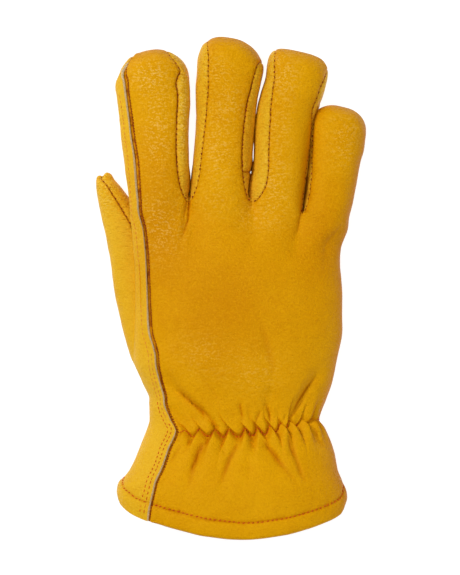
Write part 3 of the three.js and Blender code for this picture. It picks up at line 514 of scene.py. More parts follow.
def gathered(places, angle, corner):
    start = raw_edge_angle(WRIST_AT)
    share = (start - angle) / start
    ends = smooth(share / 0.08) * smooth((1 - share) / 0.2)
    off = places[..., 1] - wrist_y(angle)
    near = bell(off, GATHER_REACH)
    stitched = bell(off, 1.5)
    reach = np.where(off > 0, *lobe_reach(corner))
    turn = math.pi * corner / 2
    lobe = np.where(off > 0, np.abs(np.sin(turn)), np.abs(np.cos(turn)))
    puff = GATHER_PUFF * lobe**0.7 * bell(off, reach) * (1 - stitched)
    out = (puff - GATHER_PINCH * bell(off, 2.6)) * ends
    places[..., 0] += np.cos(angle) * out
    places[..., 2] += np.sin(angle) * out
    places[..., 1] += GATHER_RISE * gather_wave(corner) * near * ends
    return places


def hand_station(strip, share, row):
    """The root, the height and the angle of a point of the hand's skin."""
    root = root_point(strip, share)
    wrist = wrist_y(strip_angle(strip, share, np.full(share.shape, WRIST_AT)))
    hem = hem_y(strip_angle(strip, share, np.full(share.shape, HEM_BOW)))
    y = np.where(row <= 1, lerp(hem, wrist, row), lerp(wrist, root[..., 1], row - 1))
    return root, y, strip_angle(strip, share, y)


def gather_corner(strip, share):
    angle = strip_angle(strip, share, np.full(np.shape(share), WRIST_AT))
    return np.interp(angle, TURN_ANGLES, TURNS)


def gather_fields(strip, share, row):
    """Each point's distance above the gather line, its place along it, and how firmly it is held there."""
    share, row = np.broadcast_arrays(np.asarray(share, float), np.asarray(row, float))
    _, y, angle = hand_station(strip, share, row)
    start = raw_edge_angle(WRIST_AT)
    along = (start - angle) / start
    held = smooth(along / 0.06) * smooth((1.1 - along) / 0.2)
    return {"gather": y - wrist_y(angle), "corner": gather_corner(strip, share), "held": held,
            "radial_x": np.cos(angle), "radial_z": np.sin(angle)}


def hand_skin(strip, share, row):
    share, row = np.broadcast_arrays(np.asarray(share, float), np.asarray(row, float))
    root, y, angle = hand_station(strip, share, row)
    places = hand_point(y, angle)
    across = smooth(1 - (root[..., 1] - y) / KNUCKLE_BLEND_ACROSS)
    deep = smooth(1 - (root[..., 1] - y) / KNUCKLE_BLEND)
    places[..., 0] = lerp(places[..., 0], root[..., 0], across)
    places[..., 2] = lerp(places[..., 2], root[..., 2], deep)
    places = folded(draped_over_thumb(places), angle)
    if strip[0] in ("back", "little_side"):
        return gathered(places, angle, gather_corner(strip, share))
    return places


WELD = 2e-3


def welded(places):
    """The first of each group of points that lie together, and each point's group."""
    cells = np.round(places / WELD).astype(np.int64)
    _, first, group = np.unique(cells, axis=0, return_index=True, return_inverse=True)
    return first, group.reshape(-1)


def without_doubles(face):
    return [corner for n, corner in enumerate(face) if corner != face[n - 1]]


def edges_of(faces):
    return np.concatenate([faces[:, [i, (i + 1) % 4]] for i in range(4)])


def tree_of(points):
    tree = KDTree(len(points))
    for number, place in enumerate(points):
        tree.insert(place, number)
    tree.balance()
    return tree


# Stations: closer together at seams, at the gathers and at the tips
def spread(count, pull=0.55):
    t = np.linspace(0, 1, count + 1)
    return t - pull * np.sin(2 * math.pi * t) / (2 * math.pi)


CUFF_ROWS = spread(52)
HAND_ROWS = np.concatenate([CUFF_ROWS, 1 + spread(92)[1:]])
FINGER_ROWS = spread(108, 0.5)
BACK_SHARES = spread(36, 0.5)
PALM_SHARES = spread(18, 0.5)
WALL_SHARES = spread(24, 0.6)


class Skin:
    """A panel's skin: points, faces, and what is known of each point."""

    def __init__(self, name):
        self.name = name
        self.grids = []

    def add(self, places, out=True, **fields):
        shape = places.shape[:2]
        fields = {key: np.broadcast_to(value, shape) for key, value in fields.items()}
        self.grids.append((places, out, fields))

    def weld(self):
        places, faces, start = [], [], 0
        fields = {}
        for grid, out, own in self.grids:
            rows, columns = grid.shape[:2]
            ids = start + np.arange(rows * columns).reshape(rows, columns)
            a, b, c, d = ids[:-1, :-1], ids[:-1, 1:], ids[1:, 1:], ids[1:, :-1]
            quads = np.stack([a, b, c, d] if out else [a, d, c, b], -1).reshape(-1, 4)
            places.append(grid.reshape(-1, 3))
            faces.append(quads)
            for key in FIELD_DEFAULTS:
                value = own.get(key, np.full((rows, columns), FIELD_DEFAULTS[key]))
                fields.setdefault(key, []).append(np.asarray(value, float).reshape(-1))
            start += rows * columns
        places = np.concatenate(places)
        faces = np.concatenate(faces)
        first, again = welded(places)
        self.places = places[first]
        self.fields = {key: np.concatenate(value)[first] for key, value in fields.items()}
        self.faces = again[faces]
        distinct = [len(set(face)) for face in self.faces.tolist()]
        self.faces = self.faces[np.array(distinct) >= 3]


FAR = 99.0
FIELD_DEFAULTS = {
    "leather": LEATHER, "ride": 0.0, "free": 0.0, "raw": 0.0, "hem": FAR, "lap": FAR, "groove": FAR,
    "gather": FAR, "corner": 0.0, "held": 0.0, "under": 0.0, "radial_x": 0.0, "radial_z": 0.0, "tip": 0.0,
}
back = Skin("back_panel")
palm = Skin("palm_panel")
sides = {name: Skin("fourchette_" + name) for name in (
    "index_right", "middle_left", "middle_right", "ring_left", "ring_right", "little_left")}
thumb_outer = Skin("thumb_outer_panel")
thumb_inner = Skin("thumb_inner_panel")


def hem_fields(places, full=1.0):
    """The hem's thickness, and each point's distance from the hem's edge."""
    run = places[:, :, 1] - places[:1, :, 1]
    fold = smooth((HEM_HEIGHT + 1.0 - run) / 2.0) * full
    free = np.zeros(run.shape)
    free[0] = 1.0
    return {"leather": lerp(LEATHER, HEM_LEATHER, fold), "hem": run, "free": free}


def lap_fields(places, number, groove_at):
    """On the index finger's strip, each point's distance from the lapped edge and from its groove."""
    if number:
        return {}
    steps = np.linalg.norm(np.diff(places, axis=1), axis=2)
    lap = np.concatenate([np.zeros((len(places), 1)), np.cumsum(steps, axis=1)], axis=1)
    return {"lap": lap, "groove": lap - groove_at}


def groove_on_hand(y):
    """How far the sewn groove runs from the lapped edge: close by on the cuff, further off up the hand."""
    return lerp(0.75, GROOVE_AWAY, smooth((y - WRIST_AT) / 45))


GROOVE_ON_FINGER = table(
    "at away", (0, GROOVE_AWAY), (0.2, 1.7), (0.42, 1.35), (0.7, 1.3), (0.85, 1.8), (0.93, 1.7), (1, 1.1),
)


def groove_on_finger(along):
    return column(GROOVE_ON_FINGER, "away", along)


def tip_field(rows):
    return smooth((rows - 0.88) / 0.08)[:, None]


def hand_grid(strip, shares):
    return hand_skin(strip, shares[None, :], HAND_ROWS[:, None])


def wall_grid(i, side, rows):
    return wall_point(i, side, rows[:, None], WALL_SHARES[None, :])


for number, finger in enumerate(FINGERS):
    strip = ("back", number)
    places = hand_grid(strip, BACK_SHARES)
    full = smooth(BACK_SHARES / 0.5)[None, :] if number == 0 else 1.0
    lap = lap_fields(places, number, groove_on_hand(places[:, :1, 1]))
    gather = gather_fields(strip, BACK_SHARES[None, :], HAND_ROWS[:, None])
    back.add(places, **hem_fields(places, full), **lap, **gather)
    places = face_point(number, True, FINGER_ROWS[:, None], BACK_SHARES[None, :])
    lap = lap_fields(places, number, groove_on_finger(FINGER_ROWS)[:, None])
    back.add(places, tip=tip_field(FINGER_ROWS), **lap)
    places = hand_grid(("palm", number), PALM_SHARES)
    palm.add(places, out=False, **hem_fields(places))
    places = face_point(number, False, FINGER_ROWS[:, None], PALM_SHARES[None, :])
    palm.add(places, out=False, tip=tip_field(FINGER_ROWS))

strip = ("little_side", 3)
places = hand_grid(strip, WALL_SHARES)
gather = gather_fields(strip, WALL_SHARES[None, :], HAND_ROWS[:, None])
back.add(places, **hem_fields(places), **gather)
back.add(wall_grid(3, "right", FINGER_ROWS))

TINY = 1e-6
RIDE_FADES = 0.93
# The back panel runs on under the lapped edge; the palm panel rides over it
lap_shares = np.linspace(0, LAP_SHARE, 5)
places = hand_grid(("index_side", 0), lap_shares)
under = (lap_shares > 0)[None, :]
back.add(places, out=False, under=under, free=(lap_shares > LAP_SHARE - TINY)[None, :])
lap_rows = np.append(FINGER_ROWS[FINGER_ROWS < LAP_END], LAP_END)
places = wall_point(0, "left", lap_rows[:, None], lap_shares[None, :])
ends = (lap_shares > LAP_SHARE - TINY)[None, :] | (lap_rows > LAP_END - TINY)[:, None]
back.add(places, out=False, under=under, free=ends)
ride = LAP_RAISE * (1 - smooth((WALL_SHARES - LAP_SHARE) / 0.34))[None, :]
edge = (WALL_SHARES == 0)[None, :]
places = hand_grid(("index_side", 0), WALL_SHARES)
fields = hem_fields(places, smooth((WALL_SHARES - 0.3) / 0.3)[None, :])
fields["free"] = np.maximum(fields["free"], edge)
palm.add(places, out=False, ride=ride, raw=edge, **fields)
fade = 1 - smooth((FINGER_ROWS - RIDE_FADES) / (LAP_END - RIDE_FADES))[:, None]
places = wall_grid(0, "left", FINGER_ROWS)
raw = edge & (FINGER_ROWS < LAP_END - 0.01)[:, None]
palm.add(places, out=False, ride=ride * fade, free=raw, raw=raw)

# The side strips; the ring finger's left one starts on the middle finger and is joined to its strip there
JOINT_AT = 0.18
near_rows = np.append(FINGER_ROWS[FINGER_ROWS < JOINT_AT], JOINT_AT)
far_rows = np.insert(FINGER_ROWS[FINGER_ROWS > JOINT_AT], 0, JOINT_AT)
for name, number, side, rows in (
    ("index_right", 0, "right", FINGER_ROWS), ("middle_left", 1, "left", FINGER_ROWS),
    ("middle_right", 1, "right", far_rows), ("ring_left", 1, "right", near_rows),
    ("ring_left", 2, "left", FINGER_ROWS), ("ring_right", 2, "right", FINGER_ROWS),
    ("little_left", 3, "left", FINGER_ROWS),
):
    sides[name].add(wall_grid(number, side, rows), out=side == "right", tip=tip_field(rows))

# The thumb's halves, which run on into the hand
THUMB_ROWS = np.concatenate([np.linspace(0, 0.85, 60), 1 - (1 - np.linspace(0, 1, 22)[1:]) ** 1.8 * 0.15])
HALF_SHARES = spread(44, 0.5)
seam_across = np.interp(THUMB_ROWS, *np.transpose(THUMB_SEAM_ACROSS))
upper_seam = np.arccos(power(seam_across, THUMB_SQUARENESS / 2))
upper_ends = upper_seam[:, None]
for half, start, end in (
    (thumb_inner, upper_ends, -THUMB_SEAM), (thumb_outer, 2 * math.pi - THUMB_SEAM, upper_ends),
):
    angles = lerp(start, end, HALF_SHARES[None, :])
    half.add(thumb_point(THUMB_ROWS[:, None], angles), free=(THUMB_ROWS == 0)[:, None])

skins = [back, palm, *sides.values(), thumb_outer, thumb_inner]
for skin in skins:
    skin.weld()


def evened(skin, rounds=50):
    """Spread out the sharp valleys that run down the back from the crotches, away from both its edges."""
    edges = edges_of(skin.faces)
    length = np.linalg.norm(skin.places[edges[:, 0], :2] - skin.places[edges[:, 1], :2], axis=1)
    pull = 1 / np.maximum(length, 0.05)
    count = np.zeros(len(skin.places))
    for a, b in (edges.T, edges.T[::-1]):
        np.add.at(count, a, pull)
    y = skin.places[:, 1]
    share = smooth((HAND_LENGTH - 3 - y) / 9) * smooth((y - 105) / 20) * smooth((43 - skin.places[:, 0]) / 8)
    share = share * (skin.fields["lap"] > 8) * 0.9
    for _ in range(rounds):
        total = np.zeros(len(skin.places))
        for a, b in (edges.T, edges.T[::-1]):
            np.add.at(total, a, skin.places[b, 2] * pull)
        skin.places[:, 2] = lerp(skin.places[:, 2], total / count, share)


evened(back)


def unit(vectors):
    length = np.linalg.norm(vectors, axis=-1, keepdims=True)
    return vectors / np.maximum(length, 1e-9)


def face_normals(places, faces):
    p = places[faces]
    return np.cross(p[:, 2] - p[:, 0], p[:, 3] - p[:, 1])


# Normals are shared where skins meet
every = np.concatenate([skin.places for skin in skins])
shared = welded(every)[1]
total = np.zeros((shared.max() + 1, 3))
offset = 0
for skin in skins:
    skin.ids = shared[offset:offset + len(skin.places)]
    offset += len(skin.places)
    across = face_normals(skin.places, skin.faces)
    for corner in range(4):
        np.add.at(total, skin.ids[skin.faces[:, corner]], across)
for skin in skins:
    skin.normals = unit(total[skin.ids])


def noise_field(places, size, seed):
    """Smooth noise from -1 to 1 whose features have the given size, in millimetres."""
    lattice = np.random.default_rng(seed).uniform(-1, 1, (32, 32, 32))
    scaled = places / size
    cell = np.floor(scaled).astype(int)
    t = smooth(scaled - cell)
    total = np.zeros(len(places))
    for corner in itertools.product((0, 1), repeat=3):
        weight = np.prod(np.where(np.array(corner) == 1, t, 1 - t), axis=1)
        i, j, k = ((cell + corner) % 32).T
        total += weight * lattice[i, j, k]
    return total


def boundary_edges(faces):
    """The directed edges that only one face has."""
    edges = edges_of(faces)
    edges = edges[edges[:, 0] != edges[:, 1]]
    _, inverse, counts = np.unique(np.sort(edges, axis=1), axis=0, return_inverse=True, return_counts=True)
    return edges[counts[inverse.reshape(-1)] == 1]


def distance_to(places, points):
    tree = tree_of(points)
    return np.array([tree.find(place)[2] for place in places])


# The creases of the back: depth, width and route, in the hand's millimetres
CREASES = [
    (1.5, 0.9, [(-33.5, 76.5), (-29.0, 72.5), (-24.7, 68.6), (-19.0, 63.5), (-15.8, 57.5)]),
    (0.55, 0.7, [(-35.0, 62.2), (-28.5, 56.0), (-24.0, 51.5)]),
    (0.75, 0.8, [(-22.2, 68.0), (-15.8, 61.5), (-11.3, 56.0), (-8.1, 50.0)]),
    (0.8, 0.8, [(-1.0, 71.0), (1.0, 63.5), (1.6, 56.0)]),
    (1.0, 0.75, [(12.6, 69.0), (14.8, 62.2), (15.6, 56.0)]),
    (0.6, 0.7, [(11.6, 66.0), (8.7, 60.0), (7.0, 55.0)]),
    (1.2, 0.9, [(39.7, 83.2), (33.3, 75.0), (28.8, 68.0), (25.7, 61.5), (26.0, 57.5)]),
    (0.6, 0.7, [(33.5, 72.5), (27.0, 62.2), (22.0, 58.0)]),
    (0.45, 0.7, [(23.5, 62.0), (21.0, 58.0), (20.2, 55.0)]),
    (0.9, 0.9, [(-19.0, 50.7), (-19.3, 45.6), (-20.9, 40.5), (-23.5, 36.0), (-26.0, 30.5)]),
    (0.5, 0.8, [(-23.5, 50.0), (-28.0, 45.0)]),
    (0.5, 0.8, [(-15.0, 50.0), (-18.5, 45.6), (-21.0, 42.0)]),
    (0.65, 0.9, [(-0.5, 48.2), (-5.0, 39.3), (-6.5, 35.0), (-8.5, 29.7)]),
    (0.5, 0.8, [(-8.8, 48.2), (-7.0, 40.5)]),
    (0.9, 0.8, [(10.5, 51.5), (14.0, 45.5), (18.5, 40.0), (23.0, 34.5)]),
    (0.8, 0.8, [(24.0, 53.0), (25.0, 46.0), (27.5, 39.3)]),
    (0.4, 0.8, [(5.2, 49.5), (8.5, 43.0)]),
    (0.6, 0.9, [(35.8, 56.0), (39.7, 50.0)]),
    (1.1, 0.75, [(-24.9, 178.0), (-25.1, 167.5), (-25.5, 159.0), (-28.0, 151.5), (-31.0, 144.5)]),
    (0.8, 0.75, [(-24.5, 178.0), (-26.6, 166.5), (-28.2, 156.0), (-30.5, 149.5)]),
    (0.35, 0.75, [(6.8, 178.0), (7.2, 166.5), (7.6, 160.0), (6.5, 153.0)]),
    (0.6, 0.8, [(31.2, 172.0), (30.6, 162.5), (29.3, 154.0), (27.0, 147.0)]),
    # Soft, wide folds on the back and the cuff
    (0.45, 3.4, [(8.0, 116.0), (13.0, 99.0), (16.5, 86.0), (15.5, 73.0)]),
    (0.35, 1.6, [(-21.0, 83.0), (-12.0, 72.0), (-6.0, 64.0)]),
    (0.8, 2.1, [(13.0, 49.5), (19.1, 39.3), (25.0, 32.0), (30.5, 25.0)]),
    (0.85, 1.9, [(25.5, 53.0), (26.8, 43.5), (30.3, 33.0), (34.5, 25.0)]),
    (0.6, 1.7, [(36.7, 54.7), (38.8, 49.0), (43.7, 43.5)]),
    (0.65, 1.8, [(-19.0, 50.0), (-21.5, 40.0), (-23.6, 32.3), (-27.0, 22.0)]),
    (0.55, 1.8, [(0.5, 50.5), (-5.4, 40.7), (-8.2, 32.3), (-9.8, 22.0)]),
    (0.5, 1.5, [(-26.5, 50.5), (-32.8, 40.7), (-37.0, 34.0)]),
    (0.3, 1.8, [(3.5, 44.0), (5.0, 36.0), (4.0, 27.0)]),
]
# Where the dye took more deeply; the last patch is painted shade in the gap between the middle and ring
# fingers
DYE_AND_GAP_SHADE = [
    (1.0, -8.0, 120.0, 34.0, 32.0), (0.9, -42.0, 160.0, 15.0, 36.0), (0.9, 42.0, 148.0, 13.0, 26.0),
    (1.3, 3.5, 195.0, 3.5, 30.0),
]
# Painted highlights: patches where pale specks, in a wrinkled pattern, stand in for the sheen on the grain
PAINTED_HIGHLIGHTS = [
    (1.4, -45.5, 231.0, 9.0, 7.0), (1.0, -41.0, 206.0, 7.0, 20.0), (0.8, -40.0, 156.0, 10.0, 16.0),
    (0.9, -10.5, 194.0, 7.0, 15.0), (0.6, -12.0, 234.0, 8.0, 8.0), (0.7, -5.0, 217.0, 8.0, 9.0),
    (0.9, 22.0, 232.0, 7.0, 12.0), (0.6, 20.0, 205.0, 6.0, 14.0), (0.8, 18.0, 176.0, 7.0, 16.0),
    (0.6, 53.0, 200.0, 8.0, 16.0), (0.5, 8.0, 160.0, 9.0, 7.0), (0.4, -12.0, 168.0, 8.0, 8.0),
    (0.4, -20.0, 92.0, 12.0, 10.0), (0.35, 8.0, 84.0, 14.0, 10.0), (1.5, -27.6, 212.0, 3.2, 22.0),
    (0.9, -68.5, 171.5, 5.0, 11.0),
]


def patches(table_of, places):
    """Soft patches: strength, centre and reach, in the hand's millimetres."""
    return sum(
        strength * np.exp(-(((places[:, 0] - x) / wide) ** 2) - ((places[:, 1] - y) / long) ** 2)
        for strength, x, y, wide, long in table_of)


def creased(skin):
    """How deep the creases are at each point, with their soft shoulders."""
    dip = np.zeros(len(skin.places))
    for depth, width, route in CREASES:
        route = np.array(route)
        lengths = np.linalg.norm(np.diff(route, axis=0), axis=1)
        before = np.concatenate([[0], np.cumsum(lengths)])
        best, run_at = np.full(len(dip), 1e9), np.zeros(len(dip))
        for i, (start, end) in enumerate(zip(route[:-1], route[1:])):
            run = end - start
            t = np.clip((skin.places[:, :2] - start) @ run / (run @ run), 0, 1)
            aside = np.linalg.norm(skin.places[:, :2] - start - t[:, None] * run, axis=1)
            closer = aside < best
            best = np.where(closer, aside, best)
            run_at = np.where(closer, before[i] + t * lengths[i], run_at)
        ends = smooth(run_at / before[-1] / 0.45 + 0.15) * smooth((1 - run_at / before[-1]) / 0.42 + 0.05)
        shape = bell(best, 0.62 * width) + 0.35 * bell(best, 2.2 * width)
        shoulder = 0.3 * bell(best - 3.2 * width, 1.6 * width)
        dip += depth * (shape - shoulder) * ends
    return dip * smooth(skin.normals[:, 2] / 0.4)


def rippled(places, size, seed):
    """Noise drawn out along the fingers' width, as fine wrinkles run."""
    return noise_field(places * np.array([0.3, 1.0, 0.6]), size, seed)


HEM_REACH = 40
LAP_REACH = 12
RAW_BEVEL = 0.1
THUMB_NOTCH_FROM = 178.5


def dress(skin):
    """Give a skin its seams, hem, gathers and unevenness."""
    places, normals, fields = skin.places, skin.normals, skin.fields
    edges = skin.edges = boundary_edges(skin.faces)

    # Seams, by the distance to the nearest one
    free = fields["free"] > 0.5
    sewn = edges[~(free[edges[:, 0]] & free[edges[:, 1]])]
    middle = (places[sewn[:, 0]] + places[sewn[:, 1]]) / 2
    d = distance_to(places, np.concatenate([places[sewn[:, 0]], middle]))
    roll = np.clip((SEAM_ROLL - d) / SEAM_ROLL, 0, 1)
    out = fields["ride"] - SEAM_DEPTH * (1 - np.sqrt(1 - roll**2)) * (1 - 0.6 * fields["tip"])
    if skin in (thumb_outer, thumb_inner):
        near_tip = smooth((places[:, 1] - THUMB_NOTCH_FROM) / 3)
        out -= 1.3 * bell(d, 1.3) * near_tip
        if skin is thumb_inner:
            out += 1.5 * smooth((d - 0.8) / 1.5) * near_tip
    out += 0.12 * bell(d - 2.6, 1.5)
    out += 0.28 * rippled(places, 2.4, 3) * bell(d, 3.4) * smooth(d / 0.9)
    # Painted shade along the seams, lighter where a seam faces the light, so it looks faint between its
    # stitches; the cross seam is pressed flat and gets less
    shadow = 0.45 + 0.55 * smooth((normals[:, 0] + 0.15) / 0.45)
    shadow *= 0.8 + 0.35 * noise_field(places, 5, 31)
    if skin in (sides["middle_right"], sides["ring_left"]):
        shadow *= 1 - 0.55 * bell(places[:, 1] - CROSS_SEAM_Y, 0.8)
    shadow *= 1 - 0.4 * fields["tip"]
    crease = (0.8 * bell(d, 0.42) + 0.22 * bell(d, 1.7)) * shadow

    # Hem
    hem = fields["hem"]
    fold = smooth((fields["leather"] - LEATHER) / 0.8)
    edge_round = 1.2 * (1 - np.sqrt(1 - np.clip((1.5 - hem) / 1.5, 0, 1) ** 2))
    bulge = 0.35 * np.sin(math.pi * np.clip(hem / HEM_HEIGHT, 0, 1))
    ripple = noise_field(places * np.array([1.0, 0.35, 1.0]), 2.3, 5) * bell(hem - HEM_HEIGHT, 3.0)
    stitched = bell(hem - HEM_HEIGHT, 0.65)
    step = 0.3 * smooth((HEM_HEIGHT - hem) / 1.2)
    at_hem = bulge - edge_round * fold + step - 0.5 * stitched + 0.32 * ripple
    out += np.where(hem < HEM_REACH, at_hem, 0.0)
    # Painted shade along the hem's stitch line and in its ripples' hollows
    crease += np.where(hem < HEM_REACH, 0.45 * stitched + 0.25 * np.maximum(0, -ripple), 0.0)

    # Gathers
    off, corner, held = fields["gather"], fields["corner"], fields["held"]
    turn = math.pi * corner / 2
    up, down = lobe_reach(corner)
    line = bell(off, 0.5) * held
    above = bell(np.sin(turn), 0.3) * smooth(off / 1.2) * bell(off, up)
    below = bell(np.cos(turn), 0.3) * smooth(-off / 1.2) * bell(off, down)
    runs = (above + below) * held
    out -= 0.55 * line + 0.45 * runs
    # Painted shade along the gather stitch and down the folds' valleys
    crease += 0.32 * line + 0.24 * runs

    # The groove beside the lapped edge
    groove = fields["groove"]
    near_lap = fields["lap"] < LAP_REACH
    line = bell(groove, 0.42)
    sunk = smooth(-groove / 0.5)
    beside = bell(groove - 1.7, 1.1) * smooth(groove / 0.6)
    serration = 0.5 + 0.5 * np.sin(places[:, 1] * 2 * math.pi / 1.5)
    out += np.where(near_lap, 0.3 * beside - 0.75 * line - 0.5 * sunk, 0.0)
    speckle = 0.5 + 0.5 * noise_field(places, 0.9, 17)
    faint = lerp(0.62, 1.0, smooth((places[:, 1] - WRIST_AT) / 30))
    # Painted shade: a serrated dark line in the groove and speckled shade between it and the lapped edge,
    # fainter on the cuff
    crease += np.where(near_lap, faint * ((0.75 + 0.35 * serration) * line + speckle * sunk), 0.0)

    # Creases and unevenness
    dip = creased(skin) if skin is back else np.zeros(len(places))
    # Painted shade in the creases' hollows
    crease += np.clip(dip - 0.15, 0, 1.1) * 0.5
    down = np.array([0.0, 0.0, -1.0]) * dip[:, None]
    # Where the leather is bunched, everything is raised and sunk straight out of the wrist
    radial = np.stack([fields["radial_x"], np.zeros(len(places)), fields["radial_z"]], axis=1)
    way = lerp(normals, radial, (held * np.exp(-((off / 9.0) ** 4)))[:, None])
    out += 0.5 * noise_field(places, 26, 11) * smooth(d / 8)
    out += 0.2 * noise_field(places, 8, 12) * smooth(d / 4)
    out += 0.08 * noise_field(places, 3.2, 13) * smooth(d / 2)
    skin.outer = places + way * out[:, None] + down
    skin.outer[:, 2] = np.maximum(skin.outer[:, 2], 0.0)
    # How strong the painted shade of the seams, hem, gathers, groove and creases is
    skin.crease = np.clip(crease, 0, 1.5)
    skin.near_seam = bell(d, 6.0)
    # Painted shade: darker where the surface turns away from straight up, and less so at the tips
    skin.turned = smooth((0.92 - normals[:, 2]) / 0.8) * (1 - 0.45 * fields["tip"])
    # Patches of dye, one of them painted shade in a finger gap, and patches of painted highlights
    skin.dyed, skin.worn = patches(DYE_AND_GAP_SHADE, places), patches(PAINTED_HIGHLIGHTS, places)
    inner = np.minimum(fields["ride"] - fields["leather"], out - 0.5)
    skin.inner = places + way * inner[:, None] + down

    # The raw edge stands straight out of its panel
    owner = {}
    for face in skin.faces.tolist():
        for a, b in zip(face, face[1:] + face[:1]):
            owner[(a, b)] = face
    outward = np.zeros_like(places)
    for a, b in edges.tolist():
        away = (places[a] + places[b]) / 2 - places[owner[(a, b)]].mean(axis=0)
        outward[a] += away
        outward[b] += away
    outward -= normals * np.sum(outward * normals, axis=1, keepdims=True)
    raw = fields["raw"] > 0.5
    cut_corner = places + normals * (fields["ride"] - LEATHER)[:, None] + unit(outward) * RAW_BEVEL
    skin.inner[raw] = cut_corner[raw]


OUTSIDE, INSIDE, CUT = range(3)


def mesh_from(name, places, faces):
    """A mesh from points in the hand's millimetres."""
    mesh = bpy.data.meshes.new(name)
    mesh.from_pydata(((np.asarray(places) + FRAME_SHIFT) * MM).tolist(), [], faces)
    return mesh


def linked(name, data):
    thing = bpy.data.objects.new(name, data)
    bpy.context.scene.collection.objects.link(thing)
    return thing


def mesh_of(skin, materials):
    """A closed wall from a skin's outer and inner points."""
    count = len(skin.places)
    places = np.concatenate([skin.outer, skin.inner])
    raw = skin.fields["raw"] > 0.5
    faces, kinds = [], []
    for face in skin.faces.tolist():
        corners = without_doubles(face)
        faces += [corners, [corner + count for corner in reversed(corners)]]
        kinds += [OUTSIDE, INSIDE]
    for a, b in skin.edges.tolist():
        faces.append([b, a, a + count, b + count])
        kinds.append(CUT if raw[a] or raw[b] else OUTSIDE)
    mesh = mesh_from(skin.name, places, faces)
    for material in materials:
        mesh.materials.append(material)
    mesh.polygons.foreach_set("material_index", kinds)
    mesh.polygons.foreach_set("use_smooth", [True] * len(faces))
    # The masks: painted shade of seams and creases, nearness to a seam, painted side shade, dye patches with
    # painted shade in a finger gap, and painted highlights
    for name in ("crease", "near_seam", "turned", "dyed", "worn"):
        values = np.concatenate([getattr(skin, name), np.zeros(count)])
        mesh.attributes.new(name, "FLOAT", "POINT").data.foreach_set("value", values.astype(np.float32))
    mesh.update()
    return mesh


for skin in skins:
    dress(skin)


# Materials. Scales are features a metre.
def linear(*shades):
    """A colour as the shader takes it, from its red, green and blue shades up to 255."""
    parts = [shade / 255 for shade in shades]
    return [part / 12.92 if part <= 0.04045 else ((part + 0.055) / 1.055) ** 2.4 for part in parts] + [1]


class Shading:
    """A material's nodes, and short names for the ones that are used most."""

    def __init__(self, name):
        self.material = bpy.data.materials.new(name)
        self.material.use_nodes = True
        self.nodes, self.links = self.material.node_tree.nodes, self.material.node_tree.links
        self.shader = self.nodes["Principled BSDF"]
        self.where = self.nodes.new("ShaderNodeTexCoord").outputs["Object"]

    def put(self, socket, value):
        if isinstance(value, bpy.types.NodeSocket):
            self.links.new(value, socket)
        else:
            socket.default_value = value

    def stretched(self, scale):
        node = self.nodes.new("ShaderNodeMapping")
        node.inputs["Scale"].default_value = scale
        self.put(node.inputs["Vector"], self.where)
        return node.outputs[0]

    def noise(self, scale, detail, rough, vector=None):
        node = self.nodes.new("ShaderNodeTexNoise")
        node.inputs["Scale"].default_value = scale
        node.inputs["Detail"].default_value = detail
        node.inputs["Roughness"].default_value = rough
        self.put(node.inputs["Vector"], vector or self.where)
        return node

    def cells(self, scale, feature, vector=None):
        node = self.nodes.new("ShaderNodeTexVoronoi")
        node.feature = feature
        node.inputs["Scale"].default_value = scale
        self.put(node.inputs["Vector"], vector or self.where)
        return node.outputs["Distance"]

    def maths(self, kind, a, b):
        node = self.nodes.new("ShaderNodeMath")
        node.operation = kind
        self.put(node.inputs[0], a)
        self.put(node.inputs[1], b)
        return node.outputs[0]

    def times(self, a, b):
        return self.maths("MULTIPLY", a, b)

    def ranged(self, value, low, high, to_low, to_high):
        node = self.nodes.new("ShaderNodeMapRange")
        for socket, number in zip(node.inputs[1:5], (low, high, to_low, to_high)):
            socket.default_value = number
        self.put(node.inputs[0], value)
        return node.outputs[0]

    def mixed(self, factor, a, b):
        node = self.nodes.new("ShaderNodeMix")
        node.data_type = "RGBA"
        for socket, value in zip((node.inputs[0], node.inputs[6], node.inputs[7]), (factor, a, b)):
            self.put(socket, value)
        return node.outputs[2]

    def attribute(self, name):
        node = self.nodes.new("ShaderNodeAttribute")
        node.attribute_name = name
        return node.outputs["Fac"]

    def bump(self, height):
        """Relief in millimetres."""
        node = self.nodes.new("ShaderNodeBump")
        node.inputs["Strength"].default_value = 1.0
        node.inputs["Distance"].default_value = 0.001
        self.put(node.inputs["Height"], height)
        self.put(self.shader.inputs["Normal"], node.outputs[0])


# Colours of the darkest painted shade in seams and creases, and of the painted highlight specks
DEEP_SHADE = linear(104, 30, 4)
PALE_HIGHLIGHT = linear(248, 208, 116)


